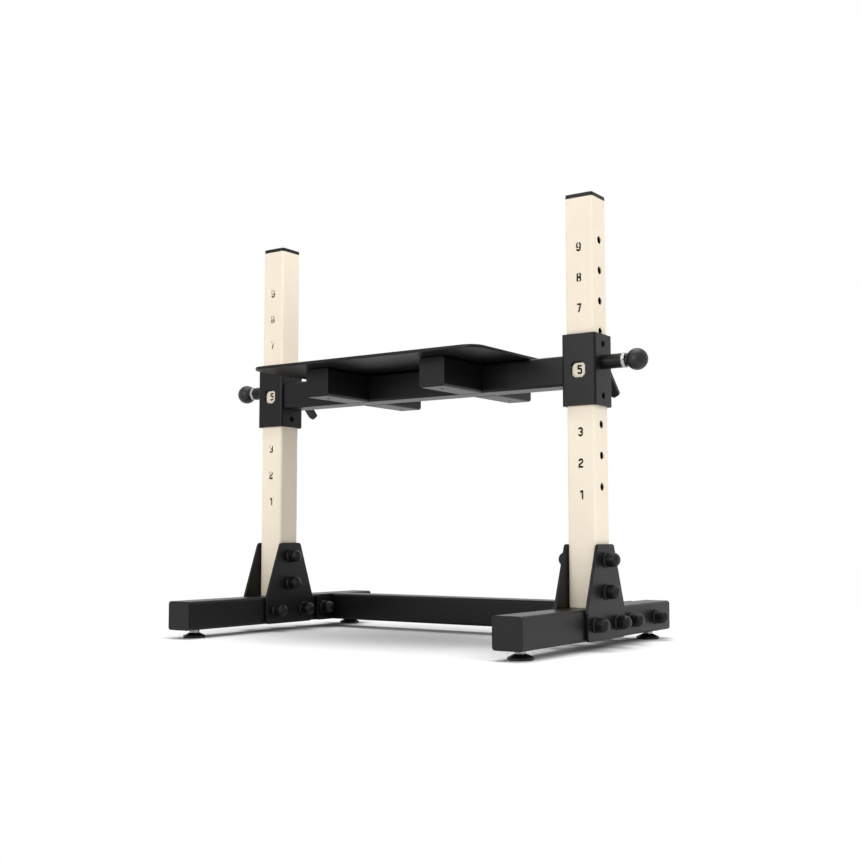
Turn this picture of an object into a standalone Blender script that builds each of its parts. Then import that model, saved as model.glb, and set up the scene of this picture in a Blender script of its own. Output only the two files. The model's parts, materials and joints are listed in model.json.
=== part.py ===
"""Adjustable step-up platform.

Two numbered uprights stand on a bolted base with a rear cross beam.  A carriage slides on
both uprights: two collars joined by a crossbar, with four short support tubes and a standing
plate on top.  A spring pull pin on each collar locks it in one of nine holes.

Run with: blender --background --python part.py
Units are metres and +Z is up.  The origin is on the floor under the middle of the base.
The uprights stand at +X (right) and -X (left), and their numbered faces look to -Y (front).
"""

import math

import bmesh
import bpy
from mathutils import Vector

# Square tube of the frame, and the clearance between pieces that touch
TUBE_HALF = 0.0375
WALL = 0.003
TUBE_CORNER = 0.0075
GAP = 0.0003
CORNER_STEPS = 3

# Base rails, along Y
UPRIGHT_X = 0.499
RAIL_BOTTOM = 0.0225
RAIL_TOP = RAIL_BOTTOM + 2 * TUBE_HALF
RAIL_MID = RAIL_BOTTOM + TUBE_HALF
RAIL_HALF_LENGTH = 0.3865
END_CAP = 0.004
CAP_PLUG = 0.018

# Uprights, with pin holes on the outer face
UPRIGHT_LENGTH = 0.997
UPRIGHT_BOTTOM = RAIL_TOP + GAP
UPRIGHT_TOP = UPRIGHT_BOTTOM + UPRIGHT_LENGTH
TOP_CAP = 0.010
HOLE_COUNT = 9
HOLE_PITCH = 0.0756
REST_HOLE = 5
REST_HOLE_Z = RAIL_TOP + 0.5904
PIN_HOLE_RADIUS = 0.00975
HOLE_SIDES = 12

# Gusset plates that bolt each upright to its rail
PLATE = 0.008
GUSSET_TOP_Z = RAIL_TOP + 0.151
GUSSET_TOP_HALF = 0.042
GUSSET_FOOT_HALF = 0.097
GUSSET_ROUND = 0.011
GUSSET_UPRIGHT_BOLTS = (RAIL_TOP + 0.0378, RAIL_TOP + 0.1138)
GUSSET_RAIL_BOLTS = (-0.058, 0.058)

# Rear cross beam and the plates on its ends
BEAM_Y = 0.224
BEAM_PLATE_HALF = 0.104
BEAM_BOLTS = (-0.074, 0.074)

# Through-bolts with domed covers on both ends
BOLT_RADIUS = 0.006
BOLT_HOLE_RADIUS = 0.0067
COVER_RING_RADIUS = 0.0195
COVER_RING = 0.001
COVER_RADIUS = 0.0172
COVER_START = 0.0045
COVER_LENGTH = 0.021
DOME_RADIUS = 0.0146
DOME_SHOULDER = 0.0245
DOME_MIDDLE = 0.0307
DOME_MIDDLE_RADIUS = 0.0105
DOME_TIP = 0.034
BOLT_SIDES = 10

# Levelling feet
FOOT_Y = 0.328
PAD_RADIUS = 0.0295
PAD_RIM = 0.006
PAD_CHAMFER = 0.001
PAD_NECK_RADIUS = 0.015
PAD_TOP = 0.013
STUD_RADIUS = 0.006
STUD_HOLE_RADIUS = 0.0067
STUD_HEX_RADIUS = 0.0139
STUD_SOCKET_Z = 0.007
STUD_TOP = 0.062
HEX_SIDES = 12

# Carriage collars
COLLAR_HALF = 0.0455
COLLAR_WALL = 0.0045
COLLAR_CORNER = 0.007
COLLAR_HALF_HEIGHT = 0.089
COLLAR_Z = RAIL_TOP + 0.570
WINDOW_HALF_WIDTH = 0.019
WINDOW_HALF_HEIGHT = 0.0205
WINDOW_ROUND = 0.009
GLIDE_HOLE_HEIGHTS = (RAIL_TOP + 0.5074, RAIL_TOP + 0.6346)
GLIDE_HOLE_RADIUS = 0.0088
GLIDE_INNER_HALF = 0.0379
GLIDE_INNER_ROUND = 0.0079
GLIDE_OUTER_HALF = 0.0407
GLIDE_OUTER_ROUND = 0.0045
GLIDE_END = 0.002
GLIDE_WINDOW_MARGIN = 0.002
GLIDE_BOSS_RADIUS = 0.0070
GLIDE_BOSS_FACE = 0.0455
CUT_MARGIN = 0.005
BOSS_OVERLAP = 0.001
BOSS_SIDES = 12

# Crossbar, support tubes and standing plate
CROSSBAR_Z = RAIL_TOP + 0.5715
SUPPORT_X = 0.183
SUPPORT_REACH = 0.211
SUPPORT_END = 0.004
SUPPORT_HOLE_RADIUS = 0.005
SUPPORT_HOLE_INSET = 0.048
DECK_HALF_X = 0.356
DECK_HALF_Y = 0.283
DECK_THICKNESS = 0.008
DECK_ROUND = 0.038
DECK_CORNER_STEPS = 6

# Lift tongues on the backs of the collars
TONGUE_HALF_WIDTH = 0.0130
TONGUE_OUTWARD = 0.0015
TONGUE_THICKNESS = 0.0105
TONGUE_SLOPE = math.radians(45)
TONGUE_ROOT_Z = RAIL_TOP + 0.6405
TONGUE_LENGTH = 0.1530
TONGUE_TIP_ROUND = 0.005

# Pull pins, stored clear of the uprights.  Distances run outwards from the upright's centre line.
PIN_TIP = 0.0380
PIN_CHAMFER = 0.0015
PIN_RADIUS = 0.009
PIN_COLLAR = 0.0540
PIN_COLLAR_END = 0.0570
PIN_COLLAR_RADIUS = 0.013
STEM_RADIUS = 0.006
STEM_END = 0.1185
BARREL_START = COLLAR_HALF + GAP
BARREL_WEB = 0.0900
BARREL_WEB_END = 0.0930
BARREL_END = 0.0965
BARREL_RADIUS = 0.0177
BARREL_BORE = 0.014
WEB_BORE = 0.0067
NUT_END = 0.1063
NUT_RADIUS = 0.0198
NUT_BORE = 0.0146
NUT_COUNTERSINK = 0.0015
NUT_COUNTERSINK_RADIUS = 0.0157
NUT_SIDES = 24
KNOB_CENTRE = 0.1337
KNOB_RADIUS = 0.0264
KNOB_NECK_START = NUT_END + GAP
KNOB_NECK_RADIUS = 0.0142
KNOB_BORE_END = 0.1195
KNOB_STEPS = 7
TURNED_SIDES = 16
SPRING_WIRE = 0.0009
SPRING_RADIUS = 0.0105
SPRING_TURNS = 6
SPRING_POINTS = 8

SIDES = (("left", -1), ("right", 1))
ENDS = (("front", -1), ("rear", 1))

# Colour, roughness and metallic value of each finish
FINISHES = {
    "black_powder_coat": ((0.028, 0.028, 0.027), 0.55, 0.0),
    "cream_powder_coat": ((0.83, 0.76, 0.63), 0.50, 0.0),
    "black_plastic": ((0.020, 0.020, 0.020), 0.45, 0.0),
    "zinc_plate": ((0.62, 0.61, 0.58), 0.35, 1.0),
    "spring_steel": ((0.45, 0.45, 0.46), 0.30, 1.0),
}


def start_empty():
    for obj in list(bpy.data.objects):
        bpy.data.objects.remove(obj, do_unlink=True)


def finish_for(name, finish):
    colour, roughness, metallic = FINISHES[finish]
    material = bpy.data.materials.new(name + "_" + finish)
    material.use_nodes = True
    shader = material.node_tree.nodes["Principled BSDF"]
    shader.inputs["Base Color"].default_value = (*colour, 1.0)
    shader.inputs["Roughness"].default_value = roughness
    shader.inputs["Metallic"].default_value = metallic
    return material


def add_object(name, mesh_data, finish, origin, parent=None):
    """Make an object from a bmesh in world places, with its origin at the given point."""
    bmesh.ops.recalc_face_normals(mesh_data, faces=mesh_data.faces)
    bmesh.ops.translate(mesh_data, verts=mesh_data.verts, vec=-Vector(origin))
    mesh = bpy.data.meshes.new(name)
    mesh_data.to_mesh(mesh)
    mesh_data.free()
    mesh.shade_smooth()
    mesh.set_sharp_from_angle(angle=math.radians(35))
    obj = bpy.data.objects.new(name, mesh)
    bpy.context.collection.objects.link(obj)
    obj.location = origin
    if finish:
        mesh.materials.append(finish_for(name, finish))
    if parent:
        obj.parent = parent
        obj.location = Vector(origin) - parent.location
    return obj


def add_empty(name, place):
    empty = bpy.data.objects.new(name, None)
    bpy.context.collection.objects.link(empty)
    empty.location = place
    empty.empty_display_size = 0.05
    return empty


def to_world(axis, u, v, w):
    """Turn sketch coordinates (u, v) and the distance w along an axis into X, Y, Z."""
    if axis == "X":
        return Vector((w, u, v))
    if axis == "Y":
        return Vector((u, w, v))
    return Vector((u, v, w))


def rounded_polygon(corners, radii, steps=CORNER_STEPS):
    """A closed outline with each corner replaced by an arc of its radius."""
    outline = []
    count = len(corners)
    for index, corner in enumerate(corners):
        here = Vector(corner)
        before = (Vector(corners[index - 1]) - here).normalized()
        after = (Vector(corners[(index + 1) % count]) - here).normalized()
        radius = radii[index]
        if radius <= 0:
            outline.append(tuple(here))
            continue
        half_angle = before.angle(after) / 2
        centre = here + (before + after).normalized() * (radius / math.sin(half_angle))
        start = here + before * (radius / math.tan(half_angle)) - centre
        sweep = (math.pi - 2 * half_angle) * (1 if before.cross(after) < 0 else -1)
        for step in range(steps + 1):
            turn = sweep * step / steps
            x = start.x * math.cos(turn) - start.y * math.sin(turn)
            y = start.x * math.sin(turn) + start.y * math.cos(turn)
            outline.append((centre.x + x, centre.y + y))
    return outline


def rounded_rectangle(centre, half_width, half_height, radius, steps=CORNER_STEPS):
    u, v = centre
    corners = [
        (u - half_width, v - half_height),
        (u + half_width, v - half_height),
        (u + half_width, v + half_height),
        (u - half_width, v + half_height),
    ]
    return rounded_polygon(corners, [radius] * 4, steps)


def circle(centre, radius, sides):
    turns = [2 * math.pi * step / sides for step in range(sides)]
    return [(centre[0] + radius * math.cos(t), centre[1] + radius * math.sin(t)) for t in turns]


def hexagon(centre, radius, sides):
    """A hexagon with a corner at angle zero, with extra points along its flats."""
    outline = []
    for step in range(sides):
        turn = 2 * math.pi * step / sides
        from_flat = turn % (math.pi / 3) - math.pi / 6
        reach = radius * math.cos(math.pi / 6) / math.cos(from_flat)
        outline.append((centre[0] + reach * math.cos(turn), centre[1] + reach * math.sin(turn)))
    return outline


def extrude_outline(mesh_data, outline, axis, low, high):
    """Add a closed prism of the outline between two distances along the axis."""
    bottom = [mesh_data.verts.new(to_world(axis, u, v, low)) for u, v in outline]
    top = [mesh_data.verts.new(to_world(axis, u, v, high)) for u, v in outline]
    mesh_data.faces.new(bottom)
    mesh_data.faces.new(list(reversed(top)))
    for index in range(len(outline)):
        after = (index + 1) % len(outline)
        mesh_data.faces.new((bottom[index], top[index], top[after], bottom[after]))


def ring_levels(mesh_data, levels, axis="X"):
    """Join outlines at distances along the axis into a ring; the last meets the first."""
    loops = []
    for outline, distance in levels:
        loops.append([mesh_data.verts.new(to_world(axis, u, v, distance)) for u, v in outline])
    for first, second in zip(loops, loops[1:] + loops[:1]):
        for index in range(len(first)):
            after = (index + 1) % len(first)
            mesh_data.faces.new((first[index], second[index], second[after], first[after]))


def extrude_ring(mesh_data, outer, inner, axis, low, high):
    """Add a hollow prism with open ends; both outlines have the same number of points."""
    ring_levels(mesh_data, ((outer, low), (outer, high), (inner, high), (inner, low)), axis)


def stack_outlines(mesh_data, levels, axis):
    """Join outlines of one point count, each at a distance along the axis, into a closed body."""
    loops = []
    for outline, distance in levels:
        loops.append([mesh_data.verts.new(to_world(axis, u, v, distance)) for u, v in outline])
    mesh_data.faces.new(loops[0])
    mesh_data.faces.new(list(reversed(loops[-1])))
    for first, second in zip(loops, loops[1:]):
        for index in range(len(first)):
            after = (index + 1) % len(first)
            mesh_data.faces.new((first[index], second[index], second[after], first[after]))


def turn_profile(mesh_data, profile, centre, axis, direction, sides, closed=False):
    """Spin a profile of (distance, radius) points round an axis through the centre.

    An open profile starts and ends on the axis.  A closed one makes a ring with a bore.
    """
    rings = []
    for distance, radius in profile:
        if radius == 0:
            point = Vector(centre) + to_world(axis, 0, 0, direction * distance)
            rings.append([mesh_data.verts.new(point)])
            continue
        ring = []
        for u, v in circle((0, 0), radius, sides):
            point = Vector(centre) + to_world(axis, u, v, direction * distance)
            ring.append(mesh_data.verts.new(point))
        rings.append(ring)
    pairs = list(zip(rings, rings[1:]))
    if closed:
        pairs.append((rings[-1], rings[0]))
    for first, second in pairs:
        for index in range(sides):
            after = (index + 1) % sides
            if len(first) == 1:
                mesh_data.faces.new((first[0], second[index], second[after]))
            elif len(second) == 1:
                mesh_data.faces.new((first[index], first[after], second[0]))
            else:
                mesh_data.faces.new((first[index], first[after], second[after], second[index]))


def prism(name, outline, axis, low, high, finish, origin=(0, 0, 0), parent=None):
    mesh_data = bmesh.new()
    extrude_outline(mesh_data, outline, axis, low, high)
    return add_object(name, mesh_data, finish, origin, parent)


def square_tube(name, centre, half, wall, corner, axis, low, high, finish, parent=None):
    mesh_data = bmesh.new()
    outer = rounded_rectangle(centre, half, half, corner)
    inner = rounded_rectangle(centre, half - wall, half - wall, corner - wall)
    extrude_ring(mesh_data, outer, inner, axis, low, high)
    return add_object(name, mesh_data, finish, (0, 0, 0), parent)


def turned(name, profile, centre, axis, direction, sides, finish, closed=False, parent=None):
    mesh_data = bmesh.new()
    turn_profile(mesh_data, profile, centre, axis, direction, sides, closed)
    return add_object(name, mesh_data, finish, centre, parent)


def add_boolean(obj, tool, operation):
    tool.hide_render = True
    tool.display_type = "WIRE"
    modifier = obj.modifiers.new(operation.lower(), "BOOLEAN")
    modifier.object = tool
    modifier.operation = operation
    modifier.solver = "EXACT"


def drill(obj, holes):
    """Cut round holes; each is (centre, radius, axis, half_length, sides)."""
    mesh_data = bmesh.new()
    for centre, radius, axis, half_length, sides in holes:
        profile = [(-half_length, 0), (-half_length, radius), (half_length, radius), (half_length, 0)]
        turn_profile(mesh_data, profile, centre, axis, 1, sides)
    tool = add_object(obj.name + "_drill", mesh_data, None, (0, 0, 0))
    add_boolean(obj, tool, "DIFFERENCE")


def hole_height(number):
    return REST_HOLE_Z + (number - REST_HOLE) * HOLE_PITCH


def build_rail(side, sign):
    x = sign * UPRIGHT_X
    tube_end = RAIL_HALF_LENGTH - END_CAP - GAP
    rail = square_tube(side + "_rail", (x, RAIL_MID), TUBE_HALF, WALL, TUBE_CORNER, "Y",
                       -tube_end, tube_end, "black_powder_coat")
    bolt_places = list(GUSSET_RAIL_BOLTS) + [BEAM_Y + offset for offset in BEAM_BOLTS]
    holes = [((x, y, RAIL_MID), BOLT_HOLE_RADIUS, "X", 2 * TUBE_HALF, BOLT_SIDES) for y in bolt_places]
    for _, end in ENDS:
        holes.append(((x, end * FOOT_Y, RAIL_BOTTOM), STUD_HOLE_RADIUS, "Z", 2 * WALL, HOLE_SIDES))
    drill(rail, holes)


def build_rail_caps(side, sign):
    """Each cap is a lid flush with the tube and a shorter plug inside it."""
    x = sign * UPRIGHT_X
    plug_half = TUBE_HALF - WALL - GAP
    for end, direction in ENDS:
        mesh_data = bmesh.new()
        lid = rounded_rectangle((x, RAIL_MID), TUBE_HALF, TUBE_HALF, TUBE_CORNER)
        plug = rounded_rectangle((x, RAIL_MID), plug_half, plug_half, TUBE_CORNER - WALL)
        outside = direction * RAIL_HALF_LENGTH
        shoulder = direction * (RAIL_HALF_LENGTH - END_CAP)
        inside = direction * (RAIL_HALF_LENGTH - END_CAP - CAP_PLUG)
        stack_outlines(mesh_data, ((lid, outside), (lid, shoulder), (plug, shoulder), (plug, inside)), "Y")
        add_object(f"{side}_rail_{end}_cap", mesh_data, "black_plastic", (0, 0, 0))


def build_upright(side, sign):
    x = sign * UPRIGHT_X
    upright = square_tube(side + "_upright", (x, 0), TUBE_HALF, WALL, TUBE_CORNER, "Z",
                          UPRIGHT_BOTTOM, UPRIGHT_TOP, "cream_powder_coat")
    holes = [((x, 0, z), BOLT_HOLE_RADIUS, "X", 2 * TUBE_HALF, BOLT_SIDES) for z in GUSSET_UPRIGHT_BOLTS]
    outer_face = x + sign * TUBE_HALF
    for number in range(1, HOLE_COUNT + 1):
        place = (outer_face, 0, hole_height(number))
        holes.append((place, PIN_HOLE_RADIUS, "X", 2 * WALL, HOLE_SIDES))
    drill(upright, holes)


def build_upright_cap(side, sign):
    x = sign * UPRIGHT_X
    plug_half = TUBE_HALF - WALL - GAP
    mesh_data = bmesh.new()
    lid = rounded_rectangle((x, 0), TUBE_HALF, TUBE_HALF, TUBE_CORNER)
    plug = rounded_rectangle((x, 0), plug_half, plug_half, TUBE_CORNER - WALL)
    shoulder = UPRIGHT_TOP + GAP
    inside = shoulder - CAP_PLUG
    outside = shoulder + TOP_CAP
    stack_outlines(mesh_data, ((lid, outside), (lid, shoulder), (plug, shoulder), (plug, inside)), "Z")
    add_object(side + "_upright_cap", mesh_data, "black_plastic", (0, 0, 0))


def build_gussets(side, sign):
    """A plate on each side of the foot of the upright, wide below and narrow above."""
    corners = [
        (-GUSSET_FOOT_HALF, RAIL_BOTTOM),
        (GUSSET_FOOT_HALF, RAIL_BOTTOM),
        (GUSSET_FOOT_HALF, RAIL_TOP),
        (GUSSET_TOP_HALF, GUSSET_TOP_Z),
        (-GUSSET_TOP_HALF, GUSSET_TOP_Z),
        (-GUSSET_FOOT_HALF, RAIL_TOP),
    ]
    radii = [GUSSET_ROUND, GUSSET_ROUND, 0, GUSSET_ROUND, GUSSET_ROUND, 0]
    outline = rounded_polygon(corners, radii)
    bolts = [(0, z) for z in GUSSET_UPRIGHT_BOLTS] + [(y, RAIL_MID) for y in GUSSET_RAIL_BOLTS]
    for face, outward in (("outer", sign), ("inner", -sign)):
        near = sign * UPRIGHT_X + outward * (TUBE_HALF + GAP)
        far = near + outward * PLATE
        gusset = prism(f"{side}_{face}_gusset", outline, "X", near, far, "black_powder_coat")
        drill(gusset, [((near, y, z), BOLT_HOLE_RADIUS, "X", 2 * PLATE, BOLT_SIDES) for y, z in bolts])


def build_beam():
    """Rear cross beam between the rails, and the plate bolted to the rail at each end."""
    plate_face = UPRIGHT_X - TUBE_HALF - GAP
    beam_half = plate_face - PLATE - GAP
    square_tube("rear_beam", (BEAM_Y, RAIL_MID), TUBE_HALF, WALL, TUBE_CORNER, "X",
                -beam_half, beam_half, "black_powder_coat")
    outline = rounded_rectangle((BEAM_Y, RAIL_MID), BEAM_PLATE_HALF, TUBE_HALF, GUSSET_ROUND)
    for side, sign in SIDES:
        near = sign * plate_face
        far = sign * (plate_face - PLATE)
        plate = prism(side + "_beam_plate", outline, "X", near, far, "black_powder_coat")
        places = [(near, BEAM_Y + offset, RAIL_MID) for offset in BEAM_BOLTS]
        drill(plate, [(place, BOLT_HOLE_RADIUS, "X", 2 * PLATE, BOLT_SIDES) for place in places])


def cover_profile(base):
    """Half of a bolt: its domed cover, measured outwards from the face it sits on."""
    return [
        (base, BOLT_RADIUS),
        (base, COVER_RING_RADIUS),
        (base + COVER_RING, COVER_RING_RADIUS),
        (base + COVER_START, COVER_RADIUS),
        (base + COVER_LENGTH, COVER_RADIUS),
        (base + COVER_LENGTH, DOME_RADIUS),
        (base + DOME_SHOULDER, DOME_RADIUS),
        (base + DOME_MIDDLE, DOME_MIDDLE_RADIUS),
        (base + DOME_TIP, 0),
    ]


def build_bolt(name, place, outer_face, inner_face):
    """A through-bolt along X with a cover over its head and another over its nut."""
    inner = [(-distance, radius) for distance, radius in cover_profile(inner_face)]
    profile = list(reversed(inner)) + cover_profile(outer_face)
    turned(name, profile, place, "X", 1, BOLT_SIDES, "black_plastic")


def build_bolts(side, sign):
    x = sign * UPRIGHT_X
    gusset_face = TUBE_HALF + 2 * GAP + PLATE
    for label, z in zip(("lower", "upper"), GUSSET_UPRIGHT_BOLTS):
        build_bolt(f"{side}_upright_{label}_bolt", (x, 0, z), gusset_face, gusset_face)
    for label, y in zip(("front", "rear"), GUSSET_RAIL_BOLTS):
        build_bolt(f"{side}_gusset_{label}_bolt", (x, y, RAIL_MID), gusset_face, gusset_face)
    rail_face = TUBE_HALF + GAP
    faces = (rail_face, gusset_face) if sign > 0 else (gusset_face, rail_face)
    for label, offset in zip(("front", "rear"), BEAM_BOLTS):
        place = (x, BEAM_Y + offset, RAIL_MID)
        build_bolt(f"{side}_beam_{label}_bolt", place, *faces)


def build_foot(side, sign, end, direction):
    """A pad on the floor and the threaded stud that turns in its socket."""
    x = sign * UPRIGHT_X
    y = direction * FOOT_Y
    name = f"{side}_{end}_foot"
    slide = add_empty(name + "_height", (x, y, 0))
    pad_profile = [
        (0, 0),
        (0, PAD_RADIUS - PAD_CHAMFER),
        (PAD_CHAMFER, PAD_RADIUS),
        (PAD_RIM, PAD_RADIUS),
        (PAD_TOP, PAD_NECK_RADIUS),
        (PAD_TOP, STUD_HOLE_RADIUS),
        (STUD_SOCKET_Z, STUD_HOLE_RADIUS),
        (STUD_SOCKET_Z, 0),
    ]
    turned(name + "_pad", pad_profile, (x, y, 0), "Z", 1, TURNED_SIDES, "black_plastic", parent=slide)
    mesh_data = bmesh.new()
    hex_low = PAD_TOP + GAP
    hex_high = RAIL_BOTTOM - GAP
    shaft = circle((x, y), STUD_RADIUS, HEX_SIDES)
    nut = hexagon((x, y), STUD_HEX_RADIUS, HEX_SIDES)
    levels = (
        (shaft, STUD_SOCKET_Z + GAP), (shaft, hex_low), (nut, hex_low),
        (nut, hex_high), (shaft, hex_high), (shaft, STUD_TOP),
    )
    stack_outlines(mesh_data, levels, "Z")
    add_object(name + "_stud", mesh_data, "zinc_plate", (x, y, 0), slide)


def window_cutter(name, x, margin):
    outline = rounded_rectangle((x, COLLAR_Z), WINDOW_HALF_WIDTH + margin,
                                WINDOW_HALF_HEIGHT + margin, WINDOW_ROUND)
    return prism(name, outline, "Y", -COLLAR_HALF - CUT_MARGIN, -TUBE_HALF + CUT_MARGIN, None)


def build_collar(side, sign, carriage):
    """The square collar, with a number window in front and round holes in its sides."""
    x = sign * UPRIGHT_X
    low = COLLAR_Z - COLLAR_HALF_HEIGHT
    high = COLLAR_Z + COLLAR_HALF_HEIGHT
    collar = square_tube(side + "_collar", (x, 0), COLLAR_HALF, COLLAR_WALL, COLLAR_CORNER, "Z",
                         low, high, "black_powder_coat", carriage)
    holes = []
    for height in GLIDE_HOLE_HEIGHTS:
        holes.append(((x, 0, height), GLIDE_HOLE_RADIUS, "X", 2 * COLLAR_HALF, HOLE_SIDES))
    pin_place = (x + sign * COLLAR_HALF, 0, REST_HOLE_Z)
    holes.append((pin_place, PIN_HOLE_RADIUS, "X", 2 * COLLAR_WALL, HOLE_SIDES))
    drill(collar, holes)
    add_boolean(collar, window_cutter(side + "_collar_window", x, 0), "DIFFERENCE")


def build_glide(side, sign, carriage):
    """The plastic liner of a collar, with bosses that show in the collar's round holes."""
    x = sign * UPRIGHT_X
    mesh_data = bmesh.new()
    outer = rounded_rectangle((x, 0), GLIDE_OUTER_HALF, GLIDE_OUTER_HALF, GLIDE_OUTER_ROUND)
    inner = rounded_rectangle((x, 0), GLIDE_INNER_HALF, GLIDE_INNER_HALF, GLIDE_INNER_ROUND)
    low = COLLAR_Z - COLLAR_HALF_HEIGHT + GLIDE_END
    high = COLLAR_Z + COLLAR_HALF_HEIGHT - GLIDE_END
    extrude_ring(mesh_data, outer, inner, "Z", low, high)
    glide = add_object(side + "_glide", mesh_data, "black_plastic", (0, 0, 0), carriage)
    bosses = bmesh.new()
    for direction in (-1, 1):
        for height in GLIDE_HOLE_HEIGHTS:
            start = GLIDE_OUTER_HALF - BOSS_OVERLAP
            profile = [(start, 0), (start, GLIDE_BOSS_RADIUS), (GLIDE_BOSS_FACE, GLIDE_BOSS_RADIUS),
                       (GLIDE_BOSS_FACE, 0)]
            turn_profile(bosses, profile, (x, 0, height), "X", direction, BOSS_SIDES)
    add_boolean(glide, add_object(side + "_glide_bosses", bosses, None, (0, 0, 0)), "UNION")
    pin_place = (x + sign * TUBE_HALF, 0, REST_HOLE_Z)
    drill(glide, [(pin_place, PIN_HOLE_RADIUS, "X", 2 * WALL, HOLE_SIDES)])
    add_boolean(glide, window_cutter(side + "_glide_window", x, GLIDE_WINDOW_MARGIN), "DIFFERENCE")


def build_tongue(side, sign, carriage):
    """The flat lifting tongue that slopes down and back from the collar's rear face."""
    x = sign * (UPRIGHT_X + TONGUE_OUTWARD)
    along = Vector((math.cos(TONGUE_SLOPE), -math.sin(TONGUE_SLOPE)))
    across = Vector((-math.sin(TONGUE_SLOPE), -math.cos(TONGUE_SLOPE)))
    root = Vector((COLLAR_HALF + GAP, TONGUE_ROOT_Z))
    corners = [(x - TONGUE_HALF_WIDTH, 0), (x + TONGUE_HALF_WIDTH, 0),
               (x + TONGUE_HALF_WIDTH, TONGUE_LENGTH), (x - TONGUE_HALF_WIDTH, TONGUE_LENGTH)]
    outline = rounded_polygon(corners, (0, 0, TONGUE_TIP_ROUND, TONGUE_TIP_ROUND))
    mesh_data = bmesh.new()
    loops = []
    for depth in (0, TONGUE_THICKNESS):
        loop = []
        for u, distance in outline:
            at_root = depth * math.tan(TONGUE_SLOPE)
            place = root + along * max(distance, at_root) + across * depth
            loop.append(mesh_data.verts.new((u, place.x, place.y)))
        loops.append(loop)
    mesh_data.faces.new(loops[0])
    mesh_data.faces.new(list(reversed(loops[1])))
    for index in range(len(outline)):
        after = (index + 1) % len(outline)
        mesh_data.faces.new((loops[0][index], loops[1][index], loops[1][after], loops[0][after]))
    add_object(side + "_tongue", mesh_data, "black_powder_coat", (0, 0, 0), carriage)


def build_crossbar(carriage):
    reach = UPRIGHT_X - COLLAR_HALF - GAP
    square_tube("crossbar", (0, CROSSBAR_Z), TUBE_HALF, WALL, TUBE_CORNER, "X", -reach, reach,
                "black_powder_coat", carriage)


def build_supports(carriage):
    """Short tubes welded to the crossbar, with their outer ends closed."""
    for side, sign in SIDES:
        x = sign * SUPPORT_X
        for end, direction in ENDS:
            mesh_data = bmesh.new()
            outer = rounded_rectangle((x, CROSSBAR_Z), TUBE_HALF, TUBE_HALF, TUBE_CORNER)
            inner = rounded_rectangle((x, CROSSBAR_Z), TUBE_HALF - WALL, TUBE_HALF - WALL,
                                      TUBE_CORNER - WALL)
            open_end = direction * (TUBE_HALF + GAP)
            inside_end = direction * (SUPPORT_REACH - SUPPORT_END)
            closed_end = direction * SUPPORT_REACH
            levels = ((inner, inside_end), (inner, open_end), (outer, open_end), (outer, closed_end))
            stack_outlines(mesh_data, levels, "Y")
            support = add_object(f"{side}_{end}_support", mesh_data, "black_powder_coat",
                                 (0, 0, 0), carriage)
            hole_y = direction * (SUPPORT_REACH - SUPPORT_HOLE_INSET)
            place = (x, hole_y, CROSSBAR_Z - TUBE_HALF)
            drill(support, [(place, SUPPORT_HOLE_RADIUS, "Z", 2 * WALL, HOLE_SIDES)])


def build_deck(carriage):
    low = CROSSBAR_Z + TUBE_HALF + GAP
    outline = rounded_rectangle((0, 0), DECK_HALF_X, DECK_HALF_Y, DECK_ROUND, DECK_CORNER_STEPS)
    prism("deck_plate", outline, "Z", low, low + DECK_THICKNESS, "black_powder_coat",
          parent=carriage)


def build_pin_housing(side, sign, carriage):
    """The barrel on the collar's outer face, with a web for the spring and a hexagonal ring."""
    centre = (sign * UPRIGHT_X, 0, REST_HOLE_Z)
    barrel = [
        (BARREL_START, BARREL_BORE), (BARREL_WEB, BARREL_BORE), (BARREL_WEB, WEB_BORE),
        (BARREL_WEB_END, WEB_BORE), (BARREL_WEB_END, BARREL_BORE), (BARREL_END, BARREL_BORE),
        (BARREL_END, BARREL_RADIUS), (BARREL_START, BARREL_RADIUS),
    ]
    turned(side + "_pin_barrel", barrel, centre, "X", sign, TURNED_SIDES, "black_powder_coat", True,
           carriage)
    outer = hexagon((0, REST_HOLE_Z), NUT_RADIUS, NUT_SIDES)
    bore = circle((0, REST_HOLE_Z), NUT_BORE, NUT_SIDES)
    flare = circle((0, REST_HOLE_Z), NUT_COUNTERSINK_RADIUS, NUT_SIDES)
    mesh_data = bmesh.new()
    near = centre[0] + sign * (BARREL_END + GAP)
    sink = centre[0] + sign * (NUT_END - NUT_COUNTERSINK)
    far = centre[0] + sign * NUT_END
    ring_levels(mesh_data, ((outer, near), (outer, far), (flare, far), (bore, sink), (bore, near)))
    add_object(side + "_pin_nut", mesh_data, "zinc_plate", centre, carriage)


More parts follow.
